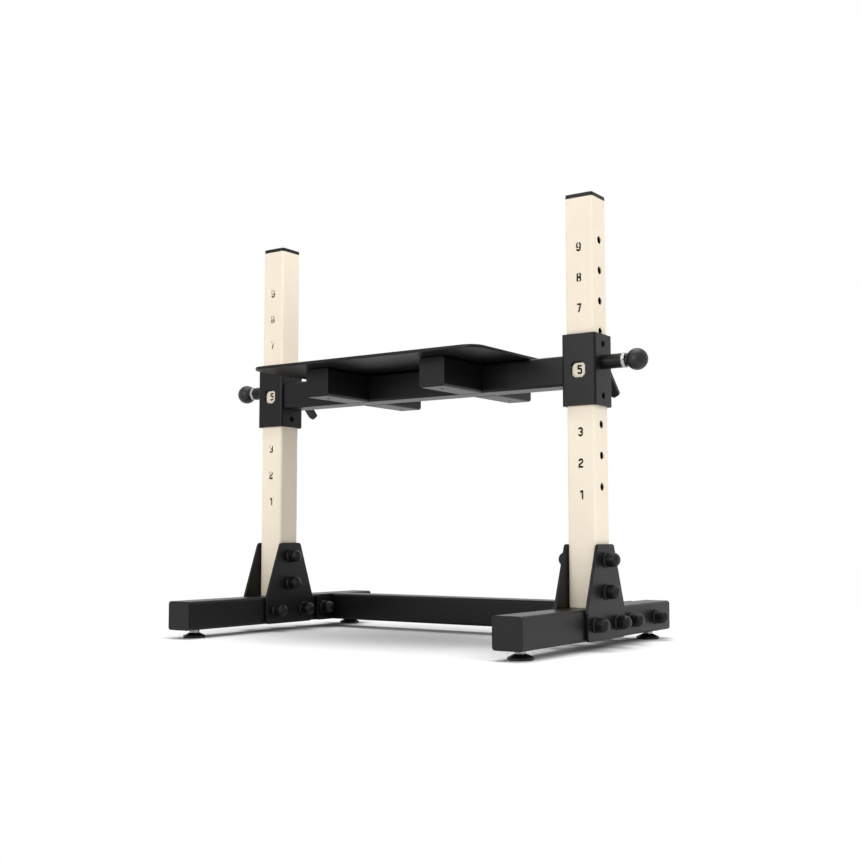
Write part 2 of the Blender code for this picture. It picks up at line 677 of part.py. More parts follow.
def build_pin(side, sign, pin):
    """The locking pin with its collar and stem, and the ball knob on its end."""
    centre = (sign * UPRIGHT_X, 0, REST_HOLE_Z)
    rod = [
        (PIN_TIP, 0), (PIN_TIP, PIN_RADIUS - PIN_CHAMFER), (PIN_TIP + PIN_CHAMFER, PIN_RADIUS),
        (PIN_COLLAR, PIN_RADIUS), (PIN_COLLAR, PIN_COLLAR_RADIUS),
        (PIN_COLLAR_END, PIN_COLLAR_RADIUS), (PIN_COLLAR_END, STEM_RADIUS),
        (STEM_END, STEM_RADIUS), (STEM_END, 0),
    ]
    turned(side + "_pin", rod, centre, "X", sign, TURNED_SIDES, "zinc_plate", parent=pin)
    neck_meets = math.sqrt(KNOB_RADIUS ** 2 - KNOB_NECK_RADIUS ** 2)
    first_turn = math.acos(-neck_meets / KNOB_RADIUS)
    knob = [
        (KNOB_BORE_END, 0), (KNOB_BORE_END, WEB_BORE), (KNOB_NECK_START, WEB_BORE),
        (KNOB_NECK_START, KNOB_NECK_RADIUS),
    ]
    for step in range(KNOB_STEPS):
        turn = first_turn * (1 - step / KNOB_STEPS)
        knob.append((KNOB_CENTRE + KNOB_RADIUS * math.cos(turn), KNOB_RADIUS * math.sin(turn)))
    knob.append((KNOB_CENTRE + KNOB_RADIUS, 0))
    turned(side + "_knob", knob, centre, "X", sign, TURNED_SIDES, "black_plastic", parent=pin)


def build_spring(side, sign, pin):
    """The spring between the pin's collar and the web of the barrel."""
    start = PIN_COLLAR_END + GAP + SPRING_WIRE
    end = BARREL_WEB - GAP - SPRING_WIRE
    count = SPRING_TURNS * SPRING_POINTS
    curve = bpy.data.curves.new(side + "_spring_path", "CURVE")
    curve.dimensions = "3D"
    curve.bevel_depth = SPRING_WIRE
    curve.bevel_resolution = 0
    curve.use_fill_caps = True
    spline = curve.splines.new("POLY")
    spline.points.add(count)
    for index in range(count + 1):
        turn = 2 * math.pi * index / SPRING_POINTS
        along = start + (end - start) * index / count
        y = SPRING_RADIUS * math.cos(turn)
        z = SPRING_RADIUS * math.sin(turn)
        spline.points[index].co = (sign * along, y, z, 1)
    spring = bpy.data.objects.new(side + "_spring", curve)
    bpy.context.collection.objects.link(spring)
    curve.materials.append(finish_for(side + "_spring", "spring_steel"))
    spring.parent = pin
    spring.location = (0, 0, 0)


def build_base():
    for side, sign in SIDES:
        build_rail(side, sign)
        build_rail_caps(side, sign)
        build_upright(side, sign)
        build_upright_cap(side, sign)
        build_gussets(side, sign)
        build_bolts(side, sign)
        for end, direction in ENDS:
            build_foot(side, sign, end, direction)
    build_beam()


def build_carriage():
    carriage = add_empty("carriage_slide", (0, 0, CROSSBAR_Z))
    build_crossbar(carriage)
    build_supports(carriage)
    build_deck(carriage)
    for side, sign in SIDES:
        build_collar(side, sign, carriage)
        build_glide(side, sign, carriage)
        build_tongue(side, sign, carriage)
        build_pin_housing(side, sign, carriage)
        pin = add_empty(side + "_pin_slide", (sign * UPRIGHT_X, 0, REST_HOLE_Z))
        build_pin(side, sign, pin)
        build_spring(side, sign, pin)


def main():
    start_empty()
    build_base()
    build_carriage()


main()
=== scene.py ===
"""Looks of the adjustable step-up platform, laid out as a Blender add-on and run as a script.

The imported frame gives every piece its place.  Each operator models one group of pieces in fine
detail, and each piece then stands for the frame's nodes that it names and rides on their body.
Units are metres and +Z is up.  The numbered faces of the uprights look to -Y.
"""

import json
import math

import bmesh
import bpy
from bpy.props import FloatProperty, FloatVectorProperty, IntProperty, PointerProperty
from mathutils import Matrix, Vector

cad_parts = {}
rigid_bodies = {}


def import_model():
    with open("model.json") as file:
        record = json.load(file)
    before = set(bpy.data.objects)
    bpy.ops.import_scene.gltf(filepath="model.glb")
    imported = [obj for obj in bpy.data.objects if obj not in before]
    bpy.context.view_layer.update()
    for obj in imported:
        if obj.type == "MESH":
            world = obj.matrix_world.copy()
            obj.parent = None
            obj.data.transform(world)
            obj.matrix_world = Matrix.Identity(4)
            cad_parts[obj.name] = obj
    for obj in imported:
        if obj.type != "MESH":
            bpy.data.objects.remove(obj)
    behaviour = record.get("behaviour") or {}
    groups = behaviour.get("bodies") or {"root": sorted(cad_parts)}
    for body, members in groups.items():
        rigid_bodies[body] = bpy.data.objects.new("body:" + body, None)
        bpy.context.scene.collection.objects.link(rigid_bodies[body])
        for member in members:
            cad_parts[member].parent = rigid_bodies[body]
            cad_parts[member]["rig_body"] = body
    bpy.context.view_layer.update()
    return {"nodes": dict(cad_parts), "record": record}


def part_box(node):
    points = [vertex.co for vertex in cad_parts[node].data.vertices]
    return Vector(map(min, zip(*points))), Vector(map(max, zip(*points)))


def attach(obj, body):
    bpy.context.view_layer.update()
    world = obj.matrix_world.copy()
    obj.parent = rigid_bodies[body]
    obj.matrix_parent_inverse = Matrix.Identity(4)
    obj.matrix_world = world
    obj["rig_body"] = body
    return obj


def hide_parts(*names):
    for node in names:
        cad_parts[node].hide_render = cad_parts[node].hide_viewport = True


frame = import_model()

bl_info = {
    "name": "Step-up platform",
    "version": (1, 0, 0),
    "blender": (4, 5, 0),
    "location": "View3D > Sidebar > Platform",
    "description": "Models an adjustable step-up platform around its packed frame",
    "category": "Add Mesh",
}

SIDES = (("left", -1), ("right", 1))
ENDS = (("front", -1), ("rear", 1))
MM = 0.001

# Arc steps of tube corners, of plate corners and of the small rounds on edges
TUBE_STEPS = 8
PLATE_STEPS = 12
EDGE_STEPS = 3
ROUND_SIDES = 64
SHARP_ANGLE = math.radians(35)
BEVEL_ANGLE = math.radians(42)

# How far a cutter reaches past what it cuts, and the play between pieces that fit into each other
CUT_MARGIN = 0.001
FIT_GAP = 0.0003

# The nine numerals as strokes whose middle lines span 10.6 by 21.6 mm.  Each point is x, y and the
# radius of its corner, in millimetres from the numeral's middle.
NUMERAL_SPAN = (10.6, 21.6)
SIX = (
    ((5.3, 6.0, 0), (5.3, 10.8, 4.6), (-5.3, 10.8, 4.9), (-5.3, -10.8, 4.0), (-1.1, -10.8, 0)),
    ((1.1, -10.8, 0), (5.3, -10.8, 4.0), (5.3, 1.8, 4.0), (1.1, 1.8, 0)),
    ((-1.1, 1.8, 0), (-5.2, 1.8, 0)),
)
NUMERALS = {
    1: (((-3.2, 6.6, 0), (3.4, 11.1, 0)), ((4.0, 13.0, 0), (4.0, -13.0, 0))),
    2: (((-5.3, 5.8, 0), (-5.3, 10.8, 4.9), (5.3, 10.8, 4.9), (5.3, 2.6, 3.8),
         (-5.3, -4.6, 3.8), (-5.3, -10.8, 0), (7.3, -10.8, 0)),),
    3: (((-5.3, 6.2, 0), (-5.3, 10.8, 4.5), (5.3, 10.8, 4.9), (5.3, 0.1, 4.6), (-1.6, 0.1, 0)),
        ((-1.4, -0.1, 0), (5.3, -0.1, 4.6), (5.3, -10.8, 4.9), (-5.3, -10.8, 4.5), (-5.3, -6.2, 0))),
    4: (((1.4, 12.9, 0), (-4.7, -5.4, 0), (7.3, -5.4, 0)), ((3.1, 1.4, 0), (3.1, -13.0, 0))),
    5: (((6.7, 10.8, 0), (-4.9, 10.8, 0), (-4.9, 0.1, 0)),
        ((-4.7, 2.6, 0), (5.3, 2.6, 4.6), (5.3, -10.8, 3.8), (-5.3, -10.8, 3.6), (-5.3, -6.4, 0))),
    6: SIX,
    7: (((-6.9, 10.8, 0), (7.1, 10.8, 0)), ((4.8, 10.9, 0), (-1.6, -12.8, 0))),
    8: (((-1.1, 10.8, 0), (-5.0, 10.8, 3.8), (-5.0, 0.3, 3.8), (0.6, 0.3, 0)),
        ((1.1, 10.8, 0), (5.0, 10.8, 3.8), (5.0, 0.4, 3.8), (-0.6, 0.4, 0)),
        ((-1.1, -10.8, 0), (-5.3, -10.8, 4.0), (-5.3, -0.3, 4.0), (0.7, -0.3, 0)),
        ((1.1, -10.8, 0), (5.3, -10.8, 4.0), (5.3, -0.4, 4.0), (-0.7, -0.4, 0))),
    9: tuple(tuple((-x, -y, radius) for x, y, radius in stroke) for stroke in SIX),
}


def length(name, description, default):
    return FloatProperty(name=name, description=description, default=default, unit="LENGTH", precision=5)


def colour(name, description, default):
    return FloatVectorProperty(name=name, description=description, default=default, subtype="COLOR",
                               size=3, min=0.0, max=1.0)


def strength(name, description, default):
    return FloatProperty(name=name, description=description, default=default, min=0.0)


class PLATFORM_PG_frame(bpy.types.PropertyGroup):
    """Walls, corners and edge rounds of the tubes and plates."""

    tube_wall: length("Tube wall", "Wall of the square tubes", 0.003)
    tube_corner: length("Tube corner", "Outer corner radius of the square tubes", 0.0075)
    collar_wall: length("Collar wall", "Wall of the collars", 0.0045)
    collar_corner: length("Collar corner", "Outer corner radius of the collars", 0.007)
    plate_corner: length("Plate corner", "Corner radius of gussets and beam plates", 0.011)
    deck_corner: length("Deck corner", "Corner radius of the standing plate", 0.038)
    plate_edge: length("Plate edge", "Round on the edges of the plates", 0.0014)
    cap_edge: length("Cap edge", "Round on the rims of the end caps", 0.0014)
    support_edge: length("Support edge", "Round on the closed ends of the supports", 0.0018)


class PLATFORM_PG_numerals(bpy.types.PropertyGroup):
    """The stencil cut numerals of the uprights and the windows that show them."""

    height: length("Height", "Height of a numeral", 0.0228)
    width: length("Width", "Width of a numeral", 0.0138)
    stroke: length("Stroke", "Width of the cut strokes", 0.0047)
    below_pin: length("Below pin", "How far a numeral's middle lies below its pin hole", 0.0189)
    pitch: length("Pitch", "Distance from one height setting to the next", 0.0756)
    window_width: length("Window width", "Width of the collar's window", 0.038)
    window_height: length("Window height", "Height of the collar's window", 0.039)
    window_chamfer: length("Window chamfer", "Cut corners of the window", 0.0078)
    window_round: length("Window round", "Small rounds beside the cut corners", 0.0026)
    window_lift: length("Window lift", "The window's height above the collar's middle", 0.0014)
    window_shift: length("Window shift", "The window's distance from the collar's middle along X", -0.0010)
    liner_drop: length("Liner drop", "How far the liner's window stays below the collar's top edge", 0.003)


class PLATFORM_PG_bolts(bpy.types.PropertyGroup):
    """Domed covers of the through-bolts."""

    flange_radius: length("Flange radius", "Radius of the flange on the plate", 0.0195)
    flange_thickness: length("Flange thickness", "Thickness of the flange's rim", 0.0010)
    flange_end: length("Flange end", "Height at which the flange has run out", 0.0042)
    groove_radius: length("Groove radius", "Radius between the flange and the cover", 0.0164)
    groove_width: length("Groove width", "Width of the groove above the flange", 0.0008)
    barrel_radius: length("Barrel radius", "Radius of the cover's lower part", 0.0172)
    barrel_end: length("Barrel end", "Height of the step below the dome", 0.0213)
    dome_radius: length("Dome radius", "Radius of the dome", 0.0164)
    dome_side: length("Dome side", "Height up to which the dome's side is straight", 0.0261)
    crown_radius: length("Crown radius", "Radius at which the dome's slope meets its top", 0.0083)
    dome_round: length("Dome round", "Rounds between the dome's side, slope and top", 0.0115)
    edge_round: length("Edge round", "Round on the cover's small edges", 0.0008)
    height: length("Height", "Height of a cover above its plate", 0.034)
    sides: IntProperty(name="Sides", description="Sides of a cover", default=40, min=12)


class PLATFORM_PG_finishes(bpy.types.PropertyGroup):
    """Colours of the finishes."""

    cream: colour("Cream", "Powder coat of the uprights", (0.875, 0.785, 0.640))
    black: colour("Black", "Powder coat of the frame", (0.0040, 0.0040, 0.0039))
    plastic: colour("Plastic", "Caps, bolt covers and foot pads", (0.0030, 0.0030, 0.0030))
    knob: colour("Knob", "Ball knobs of the pull pins", (0.0040, 0.0040, 0.0040))
    zinc: colour("Zinc", "Plated nuts, studs and pins", (0.44, 0.43, 0.41))
    spring: colour("Spring", "Wire of the springs", (0.42, 0.42, 0.43))
    floor: colour("Floor", "Studio floor", (0.90, 0.90, 0.90))


class PLATFORM_PG_studio(bpy.types.PropertyGroup):
    """Lamps and surroundings."""

    overhead: strength("Overhead", "Watts of the wide overhead lamp", 122.0)
    key: strength("Key", "Watts of the small overhead lamp", 42.0)
    front: strength("Front", "Watts of the low lamp in front", 74.0)
    side: strength("Side", "Watts of the low lamp on the right", 92.0)
    shoulder: strength("Shoulder", "Watts of the high lamp on the right", 180.0)
    sky: strength("Sky", "Strength of the soft light from all round", 0.23)


def settings(group):
    return getattr(bpy.context.scene, "platform_" + group)


def setting_names(group):
    return [name for name in group.bl_rna.properties.keys() if name not in ("rna_type", "name")]


class Graph:
    """Adds nodes to a node tree and wires them in the same call."""

    def __init__(self, tree):
        self.tree = tree

    def add(self, kind, inputs=None, **options):
        node = self.tree.nodes.new(kind)
        for name, value in options.items():
            setattr(node, name, value)
        for name, value in (inputs or {}).items():
            if isinstance(value, bpy.types.NodeSocket):
                self.tree.links.new(value, node.inputs[name])
            else:
                node.inputs[name].default_value = value
        return node

    def out(self, kind, inputs=None, **options):
        """The first output of a new node."""
        return self.add(kind, inputs, **options).outputs[0]

    def math(self, operation, first, second=0.0):
        return self.out("ShaderNodeMath", {0: first, 1: second}, operation=operation)

    def vector(self, x=0.0, y=0.0, z=0.0):
        return self.out("ShaderNodeCombineXYZ", {"X": x, "Y": y, "Z": z})


class Finish(Graph):
    """A material with its Principled shader, and the object coordinates that its detail reads."""

    def __init__(self, name, base, roughness, metallic=0.0, specular=0.5):
        self.material = bpy.data.materials.new(name)
        self.material.use_nodes = True
        super().__init__(self.material.node_tree)
        self.base = base
        self.shader = self.tree.nodes["Principled BSDF"]
        values = {"Base Color": (*base, 1.0), "Roughness": roughness, "Metallic": metallic,
                  "Specular IOR Level": specular}
        for name, value in values.items():
            self.shader.inputs[name].default_value = value
        self.place = self.add("ShaderNodeTexCoord").outputs["Object"]

    def noise(self, size, detail=2.0, place=None):
        """Noise whose features have about the given size in metres."""
        inputs = {"Vector": place or self.place, "Scale": 1.0 / size, "Detail": detail}
        return self.out("ShaderNodeTexNoise", inputs)

    def spread(self, value, low, high):
        """Map the middle of a noise to a range."""
        inputs = {"Value": value, "From Min": 0.3, "From Max": 0.7, "To Min": low, "To Max": high}
        return self.out("ShaderNodeMapRange", inputs)

    def around(self, value, middle, reach):
        return self.spread(value, middle - reach, middle + reach)

    def dress(self, tone, roughness, heights, texture, depth):
        """Let a factor of the colour, the roughness and a relief vary over the surface."""
        colour_out = self.out("ShaderNodeVectorMath", {0: self.base, "Scale": tone}, operation="SCALE")
        relief = self.out("ShaderNodeBump", {"Height": heights, "Strength": texture, "Distance": depth})
        outputs = {"Base Color": colour_out, "Roughness": roughness, "Normal": relief}
        for name, output in outputs.items():
            self.tree.links.new(output, self.shader.inputs[name])
        return self.material


# Factor of the painted shade inside the uprights, which stands in for the dark of the hollow tube
INSIDE_SHADE = 0.03


def bare_inside(finish):
    """Painted shade: a factor that darkens the inside of the uprights, where little light reaches.

    Three quarters of the wall's thickness stay out of the painted shade, so that the cuts have cream sides.
    """
    low, high, middle = measure("right_upright")
    cream_depth = settings("frame").tube_wall * 0.75
    reach = (high.x - low.x) / 2 - cream_depth
    parts = finish.add("ShaderNodeSeparateXYZ", {"Vector": finish.place}).outputs
    from_axis = finish.math("SUBTRACT", finish.math("ABSOLUTE", parts["X"]), middle.x)
    from_axis = finish.math("ABSOLUTE", from_axis)
    from_axis = finish.math("MAXIMUM", from_axis, finish.math("ABSOLUTE", parts["Y"]))
    return finish.math("MAXIMUM", finish.math("GREATER_THAN", from_axis, reach), INSIDE_SHADE)


def powder_coat(name, base, roughness, specular, variation, texture, inside=None):
    """Baked powder: a pebbled skin of about a millimetre over slow changes in thickness."""
    finish = Finish(name, base, roughness, specular=specular)
    pebbles = finish.noise(0.0011, 1.0)
    flow = finish.noise(0.0042)
    cloud = finish.noise(0.055)
    tone = finish.math("ADD", finish.around(flow, 0.0, variation), finish.around(cloud, 0.0, variation))
    tone = finish.math("ADD", 1.0, tone)
    # The optional factor paints shade, here the dark inside of the uprights
    if inside:
        tone = finish.math("MULTIPLY", tone, inside(finish))
    heights = finish.math("ADD", pebbles, finish.math("MULTIPLY", flow, 0.8))
    return finish.dress(tone, finish.around(flow, roughness, 0.05), heights, texture, depth=0.0003)


def moulded(name, base, roughness, specular, grain, texture):
    """Moulded plastic with a fine spark-eroded grain."""
    finish = Finish(name, base, roughness, specular=specular)
    cloud = finish.noise(0.02)
    tone = finish.around(cloud, 1.0, 0.08)
    rough = finish.around(cloud, roughness, 0.03)
    return finish.dress(tone, rough, finish.noise(grain, 1.0), texture, depth=0.0002)


def plated(name, base, roughness):
    """Bright metal with turning marks drawn out along X and faint cloudy patches."""
    finish = Finish(name, base, roughness, metallic=1.0)
    drawn = finish.out("ShaderNodeMapping", {"Vector": finish.place, "Scale": (5.0, 1.0, 1.0)})
    marks = finish.noise(0.0016, 3.0, drawn)
    cloud = finish.noise(0.006)
    tone = finish.spread(cloud, 0.90, 1.06)
    rough = finish.spread(marks, roughness - 0.08, roughness + 0.10)
    return finish.dress(tone, rough, marks, texture=0.15, depth=0.0001)


FINISHES = {}


def make_finishes():
    """One material for each of the record's slots."""
    paint = settings("finishes")
    # The cream coat carries painted shade on the inside of the uprights
    FINISHES["cream_upright"] = powder_coat(
        "cream_powder_coat", paint.cream, roughness=0.55, specular=0.30, variation=0.010, texture=0.22,
        inside=bare_inside)
    FINISHES["black_frame"] = powder_coat(
        "black_powder_coat", paint.black, roughness=0.38, specular=0.21, variation=0.05, texture=0.24)
    FINISHES["black_plastic"] = moulded(
        "black_moulded_plastic", paint.plastic, roughness=0.41, specular=0.26, grain=0.0009, texture=0.12)
    FINISHES["ball_knob"] = moulded(
        "knob_plastic", paint.knob, roughness=0.42, specular=0.40, grain=0.0016, texture=0.04)
    FINISHES["zinc_hardware"] = plated("zinc_plate", paint.zinc, roughness=0.48)
    FINISHES["spring_steel"] = plated("spring_wire", paint.spring, roughness=0.28)


def slot_of(node):
    for subpart in frame["record"]["subparts"]:
        if subpart["node"] == node:
            return subpart["material_slot"]
    raise RuntimeError(f"the record gives node {node} no material slot")


def body_of(node):
    return frame["nodes"][node]["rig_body"]


def measure(node):
    """Lowest corner, highest corner and middle of a node of the frame."""
    low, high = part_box(node)
    return low, high, (low + high) / 2


def to_world(axis, u, v, w):
    """Turn sketch coordinates (u, v) and the distance w along an axis into X, Y, Z."""
    if axis == "X":
        return Vector((w, u, v))
    if axis == "Y":
        return Vector((u, w, v))
    return Vector((u, v, w))


def round_path(points, steps, closed=True):
    """Replace corners by arcs.  Each point is (u, v, radius); an open path keeps its two ends."""
    path = []
    count = len(points)
    for index, (u, v, radius) in enumerate(points):
        here = Vector((u, v))
        at_end = not closed and index in (0, count - 1)
        if at_end or radius <= 0:
            path.append(here)
            continue
        before = (Vector(points[index - 1][:2]) - here).normalized()
        after = (Vector(points[(index + 1) % count][:2]) - here).normalized()
        half_angle = before.angle(after) / 2
        centre = here + (before + after).normalized() * (radius / math.sin(half_angle))
        start = here + before * (radius / math.tan(half_angle)) - centre
        sweep = (math.pi - 2 * half_angle) * (1 if before.cross(after) < 0 else -1)
        for step in range(steps + 1):
            turn = sweep * step / steps
            x = start.x * math.cos(turn) - start.y * math.sin(turn)
            y = start.x * math.sin(turn) + start.y * math.cos(turn)
            path.append(centre + Vector((x, y)))
    return path


def rectangle(low, high, radius, steps=TUBE_STEPS):
    """A rectangle with round corners between two (u, v) corners."""
    (u0, v0), (u1, v1) = low, high
    corners = ((u0, v0), (u1, v0), (u1, v1), (u0, v1))
    return round_path([(u, v, radius) for u, v in corners], steps)


def square(centre, half, radius):
    u, v = centre
    return rectangle((u - half, v - half), (u + half, v + half), radius)


def circle(centre, radius, sides=ROUND_SIDES):
    turns = [2 * math.pi * step / sides for step in range(sides)]
    return [Vector((centre[0] + radius * math.cos(t), centre[1] + radius * math.sin(t))) for t in turns]


def hexagon(centre, radius, reach, sides=ROUND_SIDES):
    """A hexagon with a corner at angle zero, its corners turned down to the given reach."""
    outline = []
    for step in range(sides):
        turn = 2 * math.pi * step / sides
        from_flat = turn % (math.pi / 3) - math.pi / 6
        distance = min(reach, radius * math.cos(math.pi / 6) / math.cos(from_flat))
        corner = (centre[0] + distance * math.cos(turn), centre[1] + distance * math.sin(turn))
        outline.append(Vector(corner))
    return outline


def skin(mesh_data, loops, ring=False):
    """Join a row of loops and close both ends.  A ring joins the last loop to the first instead."""
    pairs = list(zip(loops, loops[1:]))
    if ring:
        pairs.append((loops[-1], loops[0]))
    else:
        mesh_data.faces.new(loops[0])
        mesh_data.faces.new(list(reversed(loops[-1])))
    for first, second in pairs:
        for index in range(len(first)):
            after = (index + 1) % len(first)
            mesh_data.faces.new((first[index], second[index], second[after], first[after]))


def stack(levels, axis, ring=False):
    """A solid through outlines that stand at distances along an axis."""
    mesh_data = bmesh.new()
    loops = []
    for outline, distance in levels:
        loops.append([mesh_data.verts.new(to_world(axis, p[0], p[1], distance)) for p in outline])
    skin(mesh_data, loops, ring)
    return mesh_data


def tube(centre, half, wall, corner, axis, low, high):
    """A square tube with open ends."""
    outer = square(centre, half, corner)
    inner = square(centre, half - wall, corner - wall)
    return stack(((outer, low), (outer, high), (inner, high), (inner, low)), axis, ring=True)


def turned(profile, centre, axis, direction=1, sides=ROUND_SIDES, closed=False, mesh_data=None):
    """Spin (distance, radius) points round an axis.  A closed profile makes a ring with a bore."""
    if mesh_data is None:
        mesh_data = bmesh.new()
    rings = []
    for distance, radius in profile:
        outline = circle((0, 0), radius, sides) if radius > 1e-6 else [(0, 0)]
        places = [centre + to_world(axis, p[0], p[1], direction * distance) for p in outline]
        rings.append([mesh_data.verts.new(place) for place in places])
    pairs = list(zip(rings, rings[1:]))
    if closed:
        pairs.append((rings[-1], rings[0]))
    for first, second in pairs:
        for index in range(sides):
            after = (index + 1) % sides
            if len(first) == 1:
                mesh_data.faces.new((first[0], second[index], second[after]))
            elif len(second) == 1:
                mesh_data.faces.new((first[index], first[after], second[0]))
            else:
                mesh_data.faces.new((first[index], first[after], second[after], second[index]))
    return mesh_data


def new_object(name, mesh):
    obj = bpy.data.objects.new(name, mesh)
    bpy.context.scene.collection.objects.link(obj)
    return obj


def bake(obj):
    """Turn an object's modifiers into its plain mesh."""
    bpy.context.view_layer.update()
    evaluated = obj.evaluated_get(bpy.context.evaluated_depsgraph_get())
    mesh = bpy.data.meshes.new_from_object(evaluated)
    obj.modifiers.clear()
    obj.data = mesh
    mesh.name = obj.name


def to_object(name, mesh_data, finish):
    bmesh.ops.recalc_face_normals(mesh_data, faces=mesh_data.faces)
    mesh = bpy.data.meshes.new(name)
    mesh_data.to_mesh(mesh)
    mesh_data.free()
    mesh.materials.append(finish)
    return new_object(name, mesh)


def modify(obj, kind, **options):
    modifier = obj.modifiers.new(kind.lower(), kind)
    for name, value in options.items():
        setattr(modifier, name, value)
    return modifier


def settle(name, mesh_data, nodes, edge=0.0, cutters=(), additions=()):
    """Finish a piece: cut it, round its edges, shade it, and let it stand for frame nodes."""
    finish = FINISHES[slot_of(nodes[0])]
    obj = to_object(name, mesh_data, finish)
    tools = [(tool, "DIFFERENCE") for tool in cutters] + [(tool, "UNION") for tool in additions]
    for tool, operation in tools:
        modify(obj, "BOOLEAN", object=tool, operation=operation, solver="EXACT",
               use_self=operation == "DIFFERENCE")
    if edge:
        modify(obj, "BEVEL", width=edge, segments=EDGE_STEPS, limit_method="ANGLE",
               angle_limit=BEVEL_ANGLE, miter_outer="MITER_ARC")
    bake(obj)
    for tool, _ in tools:
        bpy.data.objects.remove(tool)
    obj.data.materials.clear()
    obj.data.materials.append(finish)
    obj.data.shade_smooth()
    obj.data.set_sharp_from_angle(angle=SHARP_ANGLE)
    modify(obj, "WEIGHTED_NORMAL", keep_sharp=True)
    bake(obj)
    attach(obj, body_of(nodes[0]))
    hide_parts(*nodes)


def slab(name, node, outline, axis, low, high, edge):
    """A flat piece with the given outline between two distances along an axis."""
    settle(name, stack(((outline, low), (outline, high)), axis), [node], edge=edge)


def end_cap(name, node, axis, centre, half, inside, tube_end, outside):
    """A lid with soft edges on the end of a square tube, and a plug that stands inside the tube."""
    sizes = settings("frame")
    lid = square(centre, half, sizes.tube_corner)
    plug = square(centre, half - sizes.tube_wall - FIT_GAP, sizes.tube_corner - sizes.tube_wall)
    shoulder = tube_end + math.copysign(FIT_GAP, outside - inside)
    levels = ((plug, inside), (plug, shoulder), (lid, shoulder), (lid, outside))
    settle(name, stack(levels, axis), [node], edge=sizes.cap_edge)


def new_tree(name, inputs):
    """A geometry node tree with the named inputs, whose defaults say what kind they are."""
    tree = bpy.data.node_groups.new(name, "GeometryNodeTree")
    tree.is_modifier = True
    kinds = {float: "Float", int: "Int", tuple: "Vector"}
    tree.interface.new_socket("Geometry", in_out="INPUT", socket_type="NodeSocketGeometry")
    tree.interface.new_socket("Geometry", in_out="OUTPUT", socket_type="NodeSocketGeometry")
    tree.interface.new_socket("Finish", in_out="INPUT", socket_type="NodeSocketMaterial")
    for label, default in inputs.items():
        kind = "NodeSocket" + kinds[type(default)]
        tree.interface.new_socket(label, in_out="INPUT", socket_type=kind).default_value = default
    graph = Graph(tree)
    return graph, graph.add("NodeGroupInput").outputs


def end_tree(graph, sizes, geometry):
    """Realize instances, set the material and reach the output."""
    real = graph.out("GeometryNodeRealizeInstances", {"Geometry": geometry})
    dressed = graph.out("GeometryNodeSetMaterial", {"Geometry": real, "Material": sizes["Finish"]})
    graph.add("NodeGroupOutput", {"Geometry": dressed})
    return graph.tree


def grow(tree, values, source=None):
    """Evaluate a tree with the given inputs and return its result as a bmesh."""
    obj = new_object(tree.name, source or bpy.data.meshes.new(tree.name))
    modifier = obj.modifiers.new("grow", "NODES")
    modifier.node_group = tree
    for item in tree.interface.items_tree:
        if item.in_out == "INPUT" and item.name in values:
            modifier[item.identifier] = values[item.name]
    bake(obj)
    mesh_data = bmesh.new()
    mesh_data.from_mesh(obj.data)
    bpy.data.objects.remove(obj)
    return mesh_data


def cover_sizes():
    """The sizes of a bolt cover by the names of the tree's inputs."""
    look = settings("bolts")
    return {name.replace("_", " ").title(): getattr(look, name) for name in setting_names(look)}


def cover_tree():
    """Domed bolt covers: a profile of named sizes, turned and set on every point."""
    graph, sizes = new_tree("domed_cover", cover_sizes())
    flange, thickness, flange_end = sizes["Flange Radius"], sizes["Flange Thickness"], sizes["Flange End"]
    groove, barrel, barrel_end = sizes["Groove Radius"], sizes["Barrel Radius"], sizes["Barrel End"]
    dome, height = sizes["Dome Radius"], sizes["Height"]
    groove_end = graph.math("ADD", flange_end, sizes["Groove Width"])
    corners = ((0.0, 0.0), (flange, 0.0), (flange, thickness), (barrel, flange_end), (groove, flange_end),
               (groove, groove_end), (barrel, groove_end), (barrel, barrel_end), (dome, barrel_end),
               (dome, sizes["Dome Side"]), (sizes["Crown Radius"], height), (0.0, height))
    index = graph.out("GeometryNodeInputIndex")
    choose = graph.add("GeometryNodeIndexSwitch", {"Index": index}, data_type="VECTOR")
    while len(choose.index_switch_items) < len(corners):
        choose.index_switch_items.new()
    for number, (radius, level) in enumerate(corners):
        below = graph.math("MULTIPLY", level, -1.0) if level else 0.0
        graph.tree.links.new(graph.vector(radius, below), choose.inputs[str(number)])
    line = graph.out("GeometryNodeCurvePrimitiveLine")
    line = graph.out("GeometryNodeResampleCurve", {"Curve": line, "Count": len(corners)})
    line = graph.out("GeometryNodeSetPosition", {"Geometry": line, "Position": choose.outputs["Output"]})
    at_dome = graph.math("GREATER_THAN", index, len(corners) - 3.5)
    more = graph.math("SUBTRACT", sizes["Dome Round"], sizes["Edge Round"])
    rounds = graph.math("ADD", sizes["Edge Round"], graph.math("MULTIPLY", at_dome, more))
    fillet = {"Curve": line, "Count": 6, "Radius": rounds, "Limit Radius": True}
    line = graph.out("GeometryNodeFilletCurve", fillet, mode="POLY")
    spin = graph.out("GeometryNodeCurvePrimitiveCircle", {"Resolution": sizes["Sides"], "Radius": 1e-6})
    cover = graph.out("GeometryNodeCurveToMesh", {"Curve": spin, "Profile Curve": line})
    cover = graph.out("GeometryNodeMergeByDistance", {"Geometry": cover, "Distance": 1e-5})
    outward = graph.out("GeometryNodeInputNamedAttribute", {"Name": "outward"}, data_type="FLOAT")
    lean = graph.vector(y=graph.math("MULTIPLY", outward, math.pi / 2))
    turn = graph.out("FunctionNodeEulerToRotation", {"Euler": lean})
    spots = {"Points": sizes["Geometry"], "Instance": cover, "Rotation": turn}
    return end_tree(graph, sizes, graph.out("GeometryNodeInstanceOnPoints", spots))


